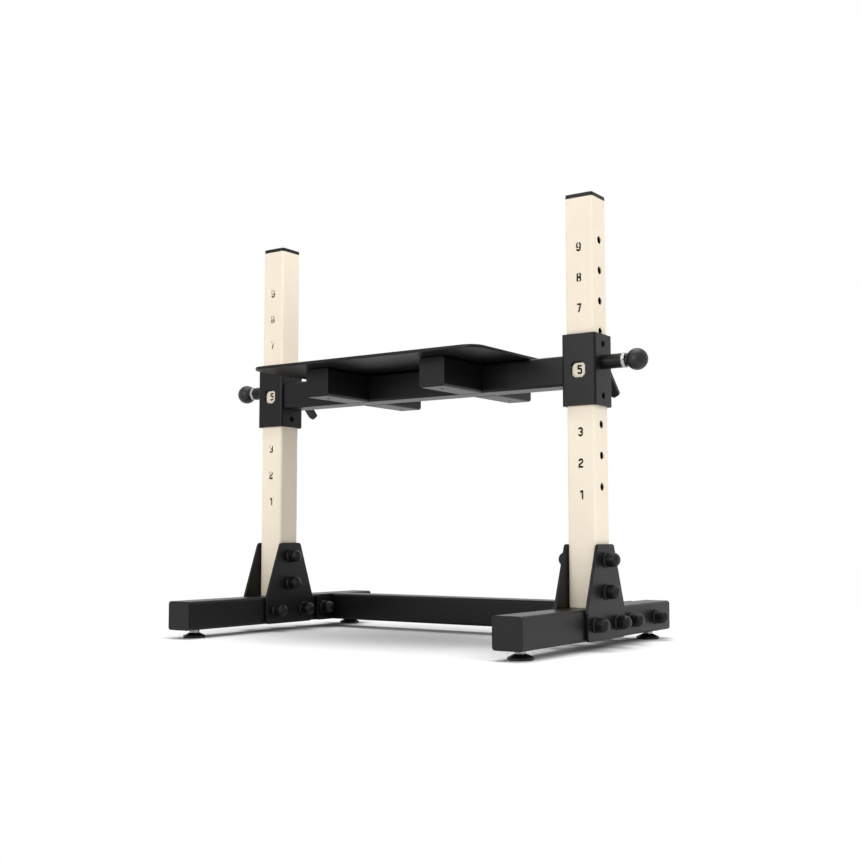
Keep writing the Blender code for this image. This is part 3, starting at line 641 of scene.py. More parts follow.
def hole_row_tree():
    """A row of round cutters along Z, for the holes in the uprights and collars."""
    graph, sizes = new_tree("hole_row", {"Count": 9, "Start": (0, 0, 0), "Pitch": 0.0756, "Radius": 0.01,
                                         "Depth": 0.01, "Sides": 48})
    step = graph.vector(z=sizes["Pitch"])
    row = {"Count": sizes["Count"], "Start Location": sizes["Start"], "Offset": step}
    row = graph.out("GeometryNodeMeshLine", row)
    drill = {"Vertices": sizes["Sides"], "Radius": sizes["Radius"], "Depth": sizes["Depth"]}
    drill = graph.out("GeometryNodeMeshCylinder", drill)
    turn = graph.out("FunctionNodeEulerToRotation", {"Euler": (0, math.pi / 2, 0)})
    drills = graph.out("GeometryNodeInstanceOnPoints", {"Points": row, "Instance": drill, "Rotation": turn})
    return end_tree(graph, sizes, drills)


def thread_tree():
    """A threaded rod along Z: a fine cylinder whose surface follows a helix."""
    graph, sizes = new_tree("threaded_rod", {"Radius": 0.006, "Length": 0.04, "Pitch": 0.00175,
                                             "Depth": 0.001, "Middle": (0, 0, 0)})
    turns = graph.math("DIVIDE", sizes["Length"], sizes["Pitch"])
    rings = graph.math("MULTIPLY", turns, 6.0)
    rod = {"Vertices": 24, "Side Segments": rings, "Radius": sizes["Radius"], "Depth": sizes["Length"]}
    rod = graph.out("GeometryNodeMeshCylinder", rod)
    place = graph.out("GeometryNodeInputPosition")
    parts = graph.add("ShaderNodeSeparateXYZ", {"Vector": place}).outputs
    angle = graph.math("DIVIDE", graph.math("ARCTAN2", parts["Y"], parts["X"]), 2 * math.pi)
    phase = graph.math("SUBTRACT", graph.math("DIVIDE", parts["Z"], sizes["Pitch"]), angle)
    wave = graph.math("PINGPONG", phase, 0.5)
    share = graph.math("DIVIDE", graph.math("MULTIPLY", wave, sizes["Depth"]),
                       graph.math("MULTIPLY", sizes["Radius"], 0.5))
    inward = graph.math("MULTIPLY", share, -1.0)
    shift = graph.vector(graph.math("MULTIPLY", parts["X"], inward),
                         graph.math("MULTIPLY", parts["Y"], inward))
    rod = graph.out("GeometryNodeSetPosition", {"Geometry": rod, "Offset": shift})
    rod = graph.out("GeometryNodeTransform", {"Geometry": rod, "Translation": sizes["Middle"]})
    return end_tree(graph, sizes, rod)


def spring_tree():
    """A coil spring along X with its wire as a round tube."""
    graph, sizes = new_tree("coil_spring", {"Turns": 6.0, "Coil Radius": 0.01, "Wire Radius": 0.001,
                                            "Length": 0.03, "Start": (0, 0, 0), "Direction": 1.0})
    coil = {"Resolution": 24, "Rotations": sizes["Turns"], "Start Radius": sizes["Coil Radius"],
            "End Radius": sizes["Coil Radius"], "Height": sizes["Length"]}
    coil = graph.out("GeometryNodeCurveSpiral", coil)
    lean = graph.vector(y=graph.math("MULTIPLY", sizes["Direction"], math.pi / 2))
    turn = graph.out("FunctionNodeEulerToRotation", {"Euler": lean})
    coil = {"Geometry": coil, "Translation": sizes["Start"], "Rotation": turn}
    coil = graph.out("GeometryNodeTransform", coil)
    wire = graph.out("GeometryNodeCurvePrimitiveCircle", {"Resolution": 10, "Radius": sizes["Wire Radius"]})
    sweep = {"Curve": coil, "Profile Curve": wire, "Fill Caps": True}
    return end_tree(graph, sizes, graph.out("GeometryNodeCurveToMesh", sweep))


TREES = {}


def make_trees():
    TREES.update(cover=cover_tree(), holes=hole_row_tree(), thread=thread_tree(), spring=spring_tree())


def hole_cutter(name, start, radius, depth, finish, count=1, pitch=0.0):
    """Round cutters along X, one above the other."""
    values = {"Count": count, "Start": tuple(start), "Pitch": pitch, "Radius": radius, "Depth": depth,
              "Finish": finish}
    return to_object(name, grow(TREES["holes"], values), finish)


def stroke_solid(mesh_data, path, width, low, high):
    """A stroke of even width along a path in X and Z, between two depths along Y."""
    rows = []
    for index, point in enumerate(path):
        before = (point - path[index - 1]).normalized() if index else None
        after = (path[index + 1] - point).normalized() if index + 1 < len(path) else None
        tangent = ((before or after) + (after or before)).normalized()
        reach = width / 2 / tangent.dot(after or before)
        side = Vector((-tangent.y, tangent.x)) * reach
        corners = ((point + side, low), (point - side, low), (point - side, high), (point + side, high))
        rows.append([mesh_data.verts.new(to_world("Y", p.x, p.y, depth)) for p, depth in corners])
    skin(mesh_data, rows)


def numeral_cutter(name, centre_x, middle_z, face_y, depth, finish):
    """All nine numerals of an upright as one cutter, with 5 at the given height."""
    look = settings("numerals")
    scale_x = (look.width - look.stroke) / (NUMERAL_SPAN[0] * MM)
    scale_z = (look.height - look.stroke) / (NUMERAL_SPAN[1] * MM)
    mesh_data = bmesh.new()
    for number, strokes in NUMERALS.items():
        base_z = middle_z + (number - 5) * look.pitch
        for order, stroke in enumerate(strokes):
            path = round_path([(x * MM, z * MM, radius * MM) for x, z, radius in stroke], 8, closed=False)
            path = [Vector((centre_x + p.x * scale_x, base_z + p.y * scale_z)) for p in path]
            extra = CUT_MARGIN * (1 + 0.1 * order)
            stroke_solid(mesh_data, path, look.stroke, face_y - extra, face_y + depth + extra)
    return to_object(name, mesh_data, finish)


def window_outline(centre, drop):
    """The collar's window: a rectangle with its corners cut at 45 degrees and its top edge let down."""
    look = settings("numerals")
    centre = (centre[0] + look.window_shift, centre[1] + look.window_lift)
    half_u = look.window_width / 2
    half_v = look.window_height / 2
    cut = look.window_chamfer
    quarter = ((half_u, half_v - cut), (half_u - cut, half_v))
    points = []
    for turn_u, turn_v in ((1, 1), (-1, 1), (-1, -1), (1, -1)):
        pair = quarter if turn_u * turn_v > 0 else quarter[::-1]
        lift = centre[1] - (drop if turn_v > 0 else 0.0)
        points += [(centre[0] + turn_u * u, lift + turn_v * v, look.window_round) for u, v in pair]
    return round_path(points, 5)


def window_cutter(name, centre, drop, low, high, finish):
    outline = window_outline(centre, drop)
    return to_object(name, stack(((outline, low), (outline, high)), "Y"), finish)


class PlatformOperator:
    """What the operators share."""

    bl_options = {"REGISTER"}

    def execute(self, context):
        self.build()
        return {"FINISHED"}

    def build(self):
        """Pieces that come in a left and a right form."""
        for side, sign in SIDES:
            self.build_side(side, sign)


class PLATFORM_OT_finishes(PlatformOperator, bpy.types.Operator):
    """Make the materials and the node trees that the pieces use"""

    bl_idname = "platform.finishes"
    bl_label = "Finishes"

    def build(self):
        make_finishes()
        make_trees()


class PLATFORM_OT_uprights(PlatformOperator, bpy.types.Operator):
    """Model the uprights with their cut numerals, pin holes and caps"""

    bl_idname = "platform.uprights"
    bl_label = "Uprights"
    hole_radius = 0.00975

    def build_side(self, side, sign):
        sizes = settings("frame")
        look = settings("numerals")
        node = side + "_upright"
        low, high, middle = measure(node)
        half = (high.x - low.x) / 2
        finish = FINISHES[slot_of(node)]
        pin_z = measure(side + "_pin")[2].z
        face_x = middle.x + sign * (half - sizes.tube_wall / 2)
        start = Vector((face_x, middle.y, pin_z - 4 * look.pitch))
        depth = sizes.tube_wall + 2 * CUT_MARGIN
        holes = hole_cutter(node + "_holes", start, self.hole_radius, depth, finish, 9, look.pitch)
        digits = numeral_cutter(node + "_numerals", middle.x, pin_z - look.below_pin, low.y,
                                sizes.tube_wall, finish)
        centre = (middle.x, middle.y)
        mesh_data = tube(centre, half, sizes.tube_wall, sizes.tube_corner, "Z", low.z, high.z)
        settle(side + "_numbered_upright", mesh_data, [node], cutters=[holes, digits])
        cap_low, cap_high, _ = measure(node + "_cap")
        end_cap(side + "_top_cap", node + "_cap", "Z", centre, half, cap_low.z, high.z, cap_high.z)


class PLATFORM_OT_rails(PlatformOperator, bpy.types.Operator):
    """Model the base rails and the lids that close their ends"""

    bl_idname = "platform.rails"
    bl_label = "Rails"
    cut_edge = 0.0004

    def build_side(self, side, sign):
        sizes = settings("frame")
        node = side + "_rail"
        low, high, middle = measure(node)
        half = (high.x - low.x) / 2
        centre = (middle.x, middle.z)
        mesh_data = tube(centre, half, sizes.tube_wall, sizes.tube_corner, "Y", low.y, high.y)
        settle(side + "_base_rail", mesh_data, [node], edge=self.cut_edge)
        for end, direction in ENDS:
            cap = f"{side}_rail_{end}_cap"
            cap_low, cap_high, _ = measure(cap)
            span = (cap_low.y, low.y, cap_high.y) if direction < 0 else (cap_low.y, high.y, cap_high.y)
            inside, tube_end, outside = span[::direction]
            end_cap(f"{side}_{end}_end_cap", cap, "Y", centre, half, inside, tube_end, outside)


class PLATFORM_OT_plates(PlatformOperator, bpy.types.Operator):
    """Model the gussets that hold the uprights and the plates of the rear beam"""

    bl_idname = "platform.plates"
    bl_label = "Gussets and beam plates"
    gusset_top_half = 0.042

    def build_side(self, side, sign):
        sizes = settings("frame")
        rail_top = measure(side + "_rail")[1].z
        for face in ("outer", "inner"):
            node = f"{side}_{face}_gusset"
            low, high, _ = measure(node)
            corners = (
                (low.y, low.z, sizes.plate_corner), (high.y, low.z, sizes.plate_corner),
                (high.y, rail_top, 0), (self.gusset_top_half, high.z, sizes.plate_corner),
                (-self.gusset_top_half, high.z, sizes.plate_corner), (low.y, rail_top, 0),
            )
            outline = round_path(corners, PLATE_STEPS)
            slab(f"{side}_{face}_gusset_plate", node, outline, "X", low.x, high.x, sizes.plate_edge)
        node = side + "_beam_plate"
        low, high, _ = measure(node)
        outline = rectangle((low.y, low.z), (high.y, high.z), sizes.plate_corner, PLATE_STEPS)
        slab(side + "_beam_end_plate", node, outline, "X", low.x, high.x, sizes.plate_edge)


class PLATFORM_OT_beams(PlatformOperator, bpy.types.Operator):
    """Model the rear beam and the crossbar of the carriage"""

    bl_idname = "platform.beams"
    bl_label = "Rear beam and crossbar"
    cut_edge = 0.0006

    def build(self):
        sizes = settings("frame")
        for node, name in (("rear_beam", "rear_cross_beam"), ("crossbar", "carriage_crossbar")):
            low, high, middle = measure(node)
            half = (high.z - low.z) / 2
            centre = (middle.y, middle.z)
            mesh_data = tube(centre, half, sizes.tube_wall, sizes.tube_corner, "X", low.x, high.x)
            settle(name, mesh_data, [node], edge=self.cut_edge)


class PLATFORM_OT_bolts(PlatformOperator, bpy.types.Operator):
    """Set a domed cover on both ends of every through-bolt"""

    bl_idname = "platform.bolts"
    bl_label = "Bolt covers"

    def build(self):
        height = settings("bolts").height
        nodes = [node for node in frame["nodes"] if node.endswith("_bolt")]
        points = []
        outward = []
        for node in nodes:
            low, high, middle = measure(node)
            points += [(high.x - height, middle.y, middle.z), (low.x + height, middle.y, middle.z)]
            outward += [1.0, -1.0]
        spots = bpy.data.meshes.new("bolt_spots")
        spots.from_pydata(points, [], [])
        spots.attributes.new("outward", "FLOAT", "POINT").data.foreach_set("value", outward)
        values = {**cover_sizes(), "Finish": FINISHES[slot_of(nodes[0])]}
        settle("bolt_covers", grow(TREES["cover"], values, spots), nodes)


class PLATFORM_OT_feet(PlatformOperator, bpy.types.Operator):
    """Model the levelling feet: a pad and a threaded stud with a hexagon"""

    bl_idname = "platform.feet"
    bl_label = "Levelling feet"
    stud_radius = 0.006
    thread_pitch = 0.00175
    thread_depth = 0.00095
    socket_z = 0.007
    socket_radius = 0.0067
    rim = 0.006
    edge = 0.0012
    neck_radius = 0.015
    hexagon_radius = 0.0139
    hexagon_end = 0.99
    core_depth = 0.0006

    def build_side(self, side, sign):
        for end, _ in ENDS:
            self.build_pad(side, end)
            self.build_stud(side, end)

    def build_pad(self, side, end):
        node = f"{side}_{end}_foot_pad"
        low, high, middle = measure(node)
        radius = (high.x - low.x) / 2
        profile = [
            (0, 0, 0), (0, radius - self.edge, 0), (self.edge, radius, 0.001), (self.rim, radius, self.edge),
            (high.z, self.neck_radius, self.edge), (high.z, self.socket_radius, 0.0003),
            (self.socket_z, self.socket_radius, 0), (self.socket_z, 0, 0),
        ]
        profile = round_path(profile, EDGE_STEPS, closed=False)
        settle(f"{side}_{end}_pad", turned(profile, Vector((middle.x, middle.y, 0)), "Z"), [node])

    def build_stud(self, side, end):
        node = f"{side}_{end}_foot_stud"
        low, high, middle = measure(node)
        pad_top = measure(f"{side}_{end}_foot_pad")[1].z
        rail_low = measure(side + "_rail")[0].z
        centre = (middle.x, middle.y)
        across = self.hexagon_radius
        flat = across * math.cos(math.pi / 6)
        hex_low = pad_top + FIT_GAP
        hex_high = rail_low - FIT_GAP
        chamfer = (across - flat) * 0.6
        end_reach = flat * self.hexagon_end
        reaches = ((hex_low, end_reach), (hex_low + chamfer, across), (hex_high - chamfer, across),
                   (hex_high, end_reach))
        shaft = circle(centre, self.stud_radius - self.core_depth)
        levels = [(shaft, low.z), (shaft, hex_low)]
        levels += [(hexagon(centre, across, reach), z) for z, reach in reaches]
        levels += [(shaft, hex_high), (shaft, hex_high + 0.001)]
        mesh_data = stack(levels, "Z")
        hexagon_mesh = bpy.data.meshes.new("hexagon")
        mesh_data.to_mesh(hexagon_mesh)
        mesh_data.free()
        values = {
            "Radius": self.stud_radius, "Length": high.z - hex_high, "Pitch": self.thread_pitch,
            "Depth": self.thread_depth, "Middle": (middle.x, middle.y, (high.z + hex_high) / 2),
            "Finish": FINISHES[slot_of(node)],
        }
        mesh_data = grow(TREES["thread"], values)
        mesh_data.from_mesh(hexagon_mesh)
        settle(f"{side}_{end}_threaded_stud", mesh_data, [node])


class PLATFORM_OT_collars(PlatformOperator, bpy.types.Operator):
    """Model the collars with their windows, and the plastic glides inside them"""

    bl_idname = "platform.collars"
    bl_label = "Collars and glides"
    glide_hole_offsets = (-0.0618, 0.0643)
    glide_hole_y = -0.0018
    glide_hole_radius = 0.0091
    boss_radius = 0.0089
    boss_face = 0.0454
    dish_radius = 0.0087
    dish_depth = 0.0021
    pocket_radius = 0.0066
    pocket_floor = 0.0389
    pocket_depth = 0.004
    pocket_play = 0.0002
    boss_root = 0.001
    end_lift = 0.0022
    cut_edge = 0.0008
    glide_inner_half = 0.0379
    glide_inner_round = 0.0079
    glide_outer_round = 0.0045
    pin_hole_radius = 0.00975
    liner_cut = 0.006

    def build_side(self, side, sign):
        self.build_collar(side, sign)
        self.build_glide(side, sign)

    def glide_holes(self, name, middle, radius, depth, finish):
        """Cutters along X at the two heights of the glide's bosses."""
        lower, upper = self.glide_hole_offsets
        start = Vector((middle.x, middle.y + self.glide_hole_y, middle.z + lower))
        return hole_cutter(name, start, radius, depth, finish, 2, upper - lower)

    def build_collar(self, side, sign):
        sizes = settings("frame")
        node = side + "_collar"
        low, high, middle = measure(node)
        half = (high.x - low.x) / 2
        finish = FINISHES[slot_of(node)]
        pin = measure(side + "_pin")[2]
        holes = self.glide_holes(node + "_holes", middle, self.glide_hole_radius, 4 * half, finish)
        window = window_cutter(node + "_window", (middle.x, middle.z), 0.0, low.y - CUT_MARGIN,
                               low.y + sizes.collar_wall + CUT_MARGIN, finish)
        pin_start = Vector((middle.x + sign * (half - sizes.collar_wall / 2), middle.y, pin.z))
        pin_depth = sizes.collar_wall + 2 * CUT_MARGIN
        pin_hole = hole_cutter(node + "_pin_hole", pin_start, self.pin_hole_radius, pin_depth, finish)
        mesh_data = tube((middle.x, middle.y), half, sizes.collar_wall, sizes.collar_corner, "Z",
                         low.z + self.end_lift, high.z)
        settle(side + "_sliding_collar", mesh_data, [node], edge=self.cut_edge,
               cutters=[holes, window, pin_hole])

    def build_glide(self, side, sign):
        sizes = settings("frame")
        node = side + "_glide"
        low, high, _ = measure(node)
        collar_low, collar_high, collar_middle = measure(side + "_collar")
        outer_half = (collar_high.x - collar_low.x) / 2 - sizes.collar_wall - FIT_GAP
        finish = FINISHES[slot_of(node)]
        centre = (collar_middle.x, collar_middle.y)
        outer = square(centre, outer_half, self.glide_outer_round)
        inner = square(centre, self.glide_inner_half, self.glide_inner_round)
        bottom = low.z + self.end_lift
        levels = ((outer, bottom), (outer, high.z), (inner, high.z), (inner, bottom))
        mesh_data = stack(levels, "Z", ring=True)
        root = outer_half - self.boss_root
        dish_floor = self.boss_face - self.dish_depth
        profile = ((root, self.pocket_radius), (dish_floor, self.pocket_radius),
                   (self.boss_face, self.dish_radius), (self.boss_face, self.boss_radius),
                   (root, self.boss_radius))
        bosses = bmesh.new()
        pockets = []
        pocket_radius = self.pocket_radius + self.pocket_play
        for direction in (-1, 1):
            shift = Vector((direction * (self.pocket_floor + self.pocket_depth / 2), 0, 0))
            pockets.append(self.glide_holes(f"{node}_pockets_{direction + 1}", collar_middle + shift,
                                            pocket_radius, self.pocket_depth, finish))
            for offset in self.glide_hole_offsets:
                boss_centre = Vector((centre[0], centre[1] + self.glide_hole_y, collar_middle.z + offset))
                turned(profile, boss_centre, "X", direction, 48, closed=True, mesh_data=bosses)
        bosses = to_object(node + "_bosses", bosses, finish)
        drop = settings("numerals").liner_drop
        window_low = centre[1] - outer_half - CUT_MARGIN
        window_high = centre[1] - self.glide_inner_half + CUT_MARGIN
        window = window_cutter(node + "_window", (collar_middle.x, collar_middle.z), drop, window_low,
                               window_high, finish)
        pin_z = measure(side + "_pin")[2].z
        wall_middle = (outer_half + self.glide_inner_half) / 2
        pin_start = Vector((centre[0] + sign * wall_middle, centre[1], pin_z))
        pin_hole = hole_cutter(node + "_pin_hole", pin_start, self.pin_hole_radius, self.liner_cut, finish)
        settle(side + "_glide_liner", mesh_data, [node], cutters=[window, pin_hole] + pockets,
               additions=[bosses])


class PLATFORM_OT_supports(PlatformOperator, bpy.types.Operator):
    """Model the four supports under the standing plate"""

    bl_idname = "platform.supports"
    bl_label = "Supports"
    closed_end = 0.004
    hole_radius = 0.005
    hole_inset = 0.048
    drill_reach = 0.006

    def build_side(self, side, sign):
        sizes = settings("frame")
        for end, direction in ENDS:
            node = f"{side}_{end}_support"
            low, high, middle = measure(node)
            half = (high.x - low.x) / 2
            centre = (middle.x, middle.z)
            outer = square(centre, half, sizes.tube_corner)
            inner = square(centre, half - sizes.tube_wall, sizes.tube_corner - sizes.tube_wall)
            root = low.y if direction > 0 else high.y
            tip = high.y if direction > 0 else low.y
            inside = tip - direction * self.closed_end
            mesh_data = stack(((inner, inside), (inner, root), (outer, root), (outer, tip)), "Y")
            profile = ((-self.drill_reach, 0), (-self.drill_reach, self.hole_radius),
                       (self.drill_reach, self.hole_radius), (self.drill_reach, 0))
            place = Vector((middle.x, tip - direction * self.hole_inset, low.z))
            drill = turned(profile, place, "Z", 1, 32)
            drill = to_object(node + "_drill", drill, FINISHES[slot_of(node)])
            settle(f"{side}_{end}_support_tube", mesh_data, [node], edge=sizes.support_edge,
                   cutters=[drill])


class PLATFORM_OT_deck(PlatformOperator, bpy.types.Operator):
    """Model the standing plate with its round corners"""

    bl_idname = "platform.deck"
    bl_label = "Standing plate"
    edge = 0.0016

    def build(self):
        sizes = settings("frame")
        low, high, _ = measure("deck_plate")
        outline = rectangle((low.x, low.y), (high.x, high.y), sizes.deck_corner, PLATE_STEPS)
        slab("standing_plate", "deck_plate", outline, "Z", low.z, high.z, self.edge)


class PLATFORM_OT_tongues(PlatformOperator, bpy.types.Operator):
    """Model the lifting tongues on the backs of the collars"""

    bl_idname = "platform.tongues"
    bl_label = "Lifting tongues"
    thickness = 0.0105
    slope = math.radians(45)
    tip = ((0.0130, 0.1526, 0.0), (-0.0030, 0.1600, 0.0020), (-0.0105, 0.1544, 0.0020),
           (-0.0130, 0.1466, 0.0))
    edge = 0.0006

    def build_side(self, side, sign):
        node = side + "_tongue"
        low, high, middle = measure(node)
        half_width = (high.x - low.x) / 2
        along = Vector((math.cos(self.slope), -math.sin(self.slope)))
        across = Vector((-math.sin(self.slope), -math.cos(self.slope)))
        root = Vector((low.y, high.z))
        corners = ((-half_width, 0, 0), (half_width, 0, 0), (half_width, 0.140, 0)) + self.tip
        outline = round_path(corners, PLATE_STEPS)
        mesh_data = bmesh.new()
        loops = []
        for depth in (0, self.thickness):
            at_root = depth * math.tan(self.slope)
            loop = []
            for point in outline:
                place = root + along * max(point.y, at_root) + across * depth
                loop.append(mesh_data.verts.new((middle.x + point.x, place.x, place.y)))
            loops.append(loop)
        skin(mesh_data, loops)
        settle(side + "_lifting_tongue", mesh_data, [node], edge=self.edge)


class PLATFORM_OT_pull_pins(PlatformOperator, bpy.types.Operator):
    """Model the pull pins: barrel, ring nut, pin, spring and ball knob"""

    bl_idname = "platform.pull_pins"
    bl_label = "Pull pins"
    barrel_radius = 0.0177
    bore = 0.014
    web = (0.0900, 0.0930)
    web_bore = 0.0067
    nut_radius = 0.0198
    nut_bore = 0.0146
    nut_chamfer = 0.0011
    nut_end = 1.01
    flare_width = 0.0009
    flare_depth = 0.0012
    pin_radius = 0.009
    pin_collar = (0.0540, 0.0570)
    pin_collar_radius = 0.013
    stem_radius = 0.006
    knob_centre = 0.1337
    knob_radius = 0.0264
    neck_radius = 0.0142
    neck_edge = 0.0006
    knob_bore_end = 0.1195
    coil_radius = 0.0105
    wire_radius = 0.0009
    coil_turns = 6.0
    nut_shift = 0.0013

    def build_side(self, side, sign):
        centre = Vector((measure(side + "_upright")[2].x, 0, measure(side + "_pin")[2].z))
        self.build_barrel(side, sign, centre)
        self.build_nut(side, sign, centre)
        self.build_pin(side, sign, centre)
        self.build_knob(side, sign, centre)
        self.build_spring(side, sign, centre)

    def outward_span(self, node, sign, centre):
        """Distances of a node's near and far end from the upright's middle."""
        low, high, _ = measure(node)
        return sorted((sign * (low.x - centre.x), sign * (high.x - centre.x)))

    def build_turned(self, name, node, profile, centre, sign, closed=False):
        profile = round_path(profile, EDGE_STEPS, closed=closed)
        settle(name, turned(profile, centre, "X", sign, closed=closed), [node])

    def build_barrel(self, side, sign, centre):
        near, far = self.outward_span(side + "_pin_barrel", sign, centre)
        far += self.nut_shift
        web, web_end = self.web
        profile = (
            (near, self.bore, 0), (web, self.bore, 0), (web, self.web_bore, 0), (web_end, self.web_bore, 0),
            (web_end, self.bore, 0), (far, self.bore, 0.0003), (far, self.barrel_radius, 0.0007),
            (near, self.barrel_radius, 0.0003),
        )
        self.build_turned(side + "_barrel", side + "_pin_barrel", profile, centre, sign, closed=True)

    def build_nut(self, side, sign, centre):
        node = side + "_pin_nut"
        near, far = self.outward_span(node, sign, centre)
        near += self.nut_shift
        at = (centre.y, centre.z)
        end_reach = self.nut_radius * math.cos(math.pi / 6) * self.nut_end
        outside = ((near, end_reach), (near + self.nut_chamfer, self.nut_radius),
                   (far - self.nut_chamfer, self.nut_radius), (far, end_reach))
        levels = [(hexagon(at, self.nut_radius, reach, 96), w) for w, reach in outside]
        bore = circle(at, self.nut_bore, 96)
        flare = circle(at, self.nut_bore + self.flare_width, 96)
        levels += [(flare, far), (bore, far - self.flare_depth), (bore, near)]
        levels = [(outline, centre.x + sign * w) for outline, w in levels]
        settle(side + "_ring_nut", stack(levels, "X", ring=True), [node])

    def build_pin(self, side, sign, centre):
        node = side + "_pin"
        near, far = self.outward_span(node, sign, centre)
        collar, collar_end = self.pin_collar
        profile = (
            (near, 0, 0), (near, self.pin_radius, 0.0016), (collar, self.pin_radius, 0),
            (collar, self.pin_collar_radius, 0.0004), (collar_end, self.pin_collar_radius, 0.0004),
            (collar_end, self.stem_radius, 0), (far, self.stem_radius, 0), (far, 0, 0),
        )
        self.build_turned(side + "_locking_pin", node, profile, centre, sign)

    def build_knob(self, side, sign, centre):
        node = side + "_knob"
        near = self.outward_span(node, sign, centre)[0] + self.nut_shift
        meets = math.sqrt(self.knob_radius ** 2 - self.neck_radius ** 2)
        first_turn = math.acos(-meets / self.knob_radius)
        edge = self.neck_edge
        profile = [(self.knob_bore_end, 0), (self.knob_bore_end, self.web_bore), (near, self.web_bore),
                   (near, self.neck_radius - edge), (near + edge, self.neck_radius)]
        steps = 36
        for step in range(steps):
            turn = first_turn * (1 - step / steps)
            distance = self.knob_centre + self.knob_radius * math.cos(turn)
            profile.append((distance, self.knob_radius * math.sin(turn)))
        profile.append((self.knob_centre + self.knob_radius, 0))
        settle(side + "_ball_knob", turned(profile, centre, "X", sign, 72), [node])

    def build_spring(self, side, sign, centre):
        node = side + "_spring"
        near, far = self.outward_span(node, sign, centre)
        start = Vector((centre.x + sign * (near + self.wire_radius), centre.y, centre.z))
        values = {
            "Turns": self.coil_turns, "Coil Radius": self.coil_radius, "Wire Radius": self.wire_radius,
            "Length": far - near - 2 * self.wire_radius, "Start": tuple(start), "Direction": float(sign),
            "Finish": FINISHES[slot_of(node)],
        }
        settle(side + "_coil_spring", grow(TREES["spring"], values), [node])


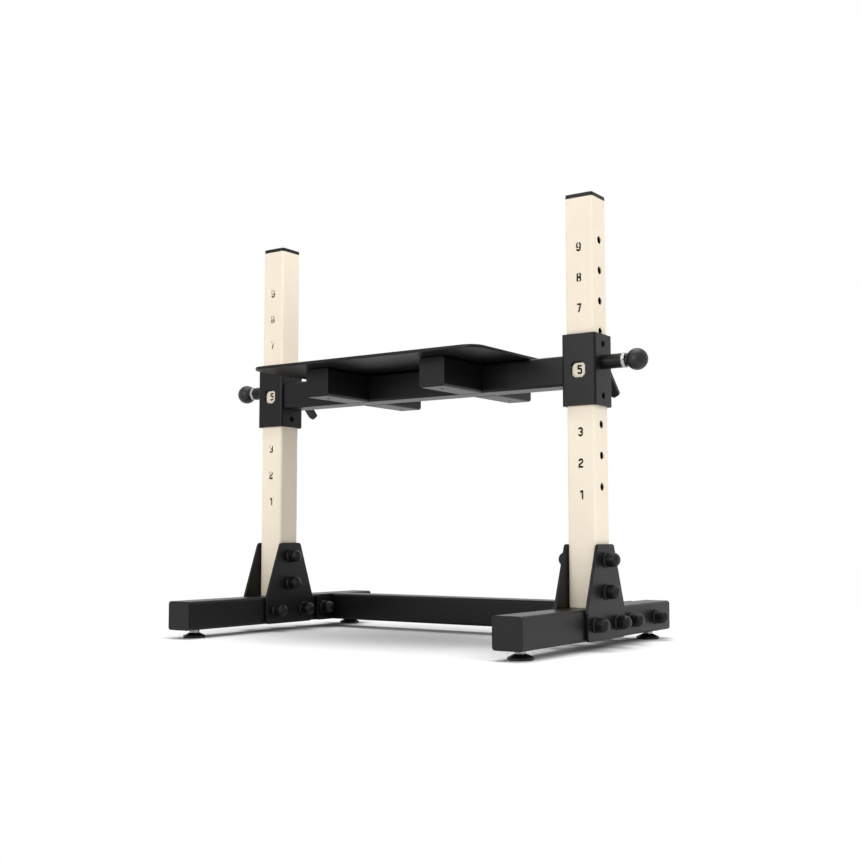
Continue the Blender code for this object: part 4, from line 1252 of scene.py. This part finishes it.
class PLATFORM_OT_studio(PlatformOperator, bpy.types.Operator):
    """Set up the floor, the lamps, the surroundings and the camera"""

    bl_idname = "platform.studio"
    bl_label = "Studio"
    camera_place = (1.8263, -2.5857, 0.2680)
    camera_turn = (math.pi / 2 + 0.0889, 0.0, 0.6066)
    camera_lens = 49.7466
    floor_radius = 40.0
    near_floor = 1.0
    far_floor = 2.0
    # Name, place, target, size, and whether the lamp shows in reflections
    lamps = (
        ("overhead", (0.0, 0.0, 4.2), (0.0, 0.0, 0.0), (3.6, 3.6), True),
        ("key", (0.0, 0.0, 3.2), (0.0, 0.0, 0.0), (1.6, 1.6), False),
        ("front", (-0.4, -4.4, 1.6), (0.0, 0.0, 0.7), (3.0, 1.8), True),
        ("side", (7.56, 0.9, 2.86), (0.0, 0.0, 0.7), (5.4, 3.24), False),
        ("shoulder", (5.76, 0.54, 5.28), (0.0, 0.0, 0.6), (4.68, 4.32), False),
    )

    def build(self):
        self.build_camera()
        self.build_floor()
        self.build_world()
        for lamp in self.lamps:
            self.build_lamp(*lamp)
        bpy.context.scene.view_settings.view_transform = "Standard"

    def build_camera(self):
        data = bpy.data.cameras.new("camera")
        data.lens = self.camera_lens
        camera = new_object("camera", data)
        camera.location = self.camera_place
        camera.rotation_euler = self.camera_turn
        bpy.context.scene.camera = camera

    def build_lamp(self, name, place, target, size, mirrored):
        data = bpy.data.lights.new(name + "_lamp", "AREA")
        data.shape = "RECTANGLE"
        data.size, data.size_y = size
        data.energy = getattr(settings("studio"), name)
        lamp = new_object(name + "_lamp", data)
        lamp.location = place
        lamp.rotation_euler = (Vector(target) - Vector(place)).to_track_quat("-Z", "Y").to_euler()
        lamp.visible_camera = False
        lamp.visible_glossy = mirrored

    def seen_directly(self, graph):
        """1 for camera, glossy and transmission rays, and 0 for the rest."""
        path = graph.add("ShaderNodeLightPath").outputs
        seen = graph.math("MAXIMUM", path["Is Camera Ray"], path["Is Glossy Ray"])
        return graph.math("MAXIMUM", seen, path["Is Transmission Ray"])

    def build_world(self):
        world = bpy.data.worlds.new("studio")
        world.use_nodes = True
        world.node_tree.nodes.clear()
        graph = Graph(world.node_tree)
        sky = {"Color": (1, 1, 1, 1), "Strength": settings("studio").sky}
        sky = graph.out("ShaderNodeBackground", sky)
        white = graph.out("ShaderNodeBackground", {"Color": (1, 1, 1, 1), "Strength": 1.0})
        mix = graph.out("ShaderNodeMixShader", {0: self.seen_directly(graph), 1: sky, 2: white})
        graph.add("ShaderNodeOutputWorld", {"Surface": mix})
        bpy.context.scene.world = world

    def build_floor(self):
        """A pale floor that keeps the shadow near the object and turns white further out."""
        mesh_data = bmesh.new()
        bmesh.ops.create_circle(mesh_data, cap_ends=True, radius=self.floor_radius, segments=64)
        mesh = bpy.data.meshes.new("floor")
        mesh_data.to_mesh(mesh)
        mesh_data.free()
        material = bpy.data.materials.new("studio_floor")
        material.use_nodes = True
        material.node_tree.nodes.clear()
        graph = Graph(material.node_tree)
        pale = graph.out("ShaderNodeBsdfDiffuse", {"Color": (*settings("finishes").floor, 1)})
        white = graph.out("ShaderNodeEmission", {"Color": (1, 1, 1, 1), "Strength": 1.0})
        place = graph.add("ShaderNodeTexCoord").outputs["Object"]
        distance = graph.add("ShaderNodeVectorMath", {0: place}, operation="LENGTH").outputs["Value"]
        far = {"Value": distance, "From Min": self.near_floor, "From Max": self.far_floor}
        far = graph.out("ShaderNodeMapRange", far, interpolation_type="SMOOTHSTEP")
        factor = graph.math("MULTIPLY", far, self.seen_directly(graph))
        mix = graph.out("ShaderNodeMixShader", {0: factor, 1: pale, 2: white})
        graph.add("ShaderNodeOutputMaterial", {"Surface": mix})
        mesh.materials.append(material)
        new_object("floor", mesh)


GROUPS = {
    "frame": PLATFORM_PG_frame,
    "numerals": PLATFORM_PG_numerals,
    "bolts": PLATFORM_PG_bolts,
    "finishes": PLATFORM_PG_finishes,
    "studio": PLATFORM_PG_studio,
}
OPERATORS = (
    PLATFORM_OT_studio, PLATFORM_OT_finishes, PLATFORM_OT_uprights, PLATFORM_OT_rails, PLATFORM_OT_plates,
    PLATFORM_OT_beams, PLATFORM_OT_bolts, PLATFORM_OT_feet, PLATFORM_OT_collars, PLATFORM_OT_supports,
    PLATFORM_OT_deck, PLATFORM_OT_tongues, PLATFORM_OT_pull_pins,
)


class PLATFORM_PT_panel(bpy.types.Panel):
    """Lists the platform's operators and settings"""

    bl_idname = "PLATFORM_PT_panel"
    bl_label = "Step-up platform"
    bl_space_type = "VIEW_3D"
    bl_region_type = "UI"
    bl_category = "Platform"

    def draw(self, context):
        column = self.layout.column()
        for operator in OPERATORS:
            column.operator(operator.bl_idname)
        for name in GROUPS:
            box = self.layout.box()
            group = settings(name)
            for setting in setting_names(group):
                box.prop(group, setting)


def register():
    for name, group in GROUPS.items():
        bpy.utils.register_class(group)
        setattr(bpy.types.Scene, "platform_" + name, PointerProperty(type=group))
    for operator in OPERATORS:
        bpy.utils.register_class(operator)
    bpy.utils.register_class(PLATFORM_PT_panel)


def unregister():
    bpy.utils.unregister_class(PLATFORM_PT_panel)
    for operator in reversed(OPERATORS):
        bpy.utils.unregister_class(operator)
    for name, group in reversed(GROUPS.items()):
        delattr(bpy.types.Scene, "platform_" + name)
        bpy.utils.unregister_class(group)


def main():
    register()
    for operator in OPERATORS:
        getattr(bpy.ops.platform, operator.bl_idname.partition(".")[2])()


if __name__ == "__main__":
    main()
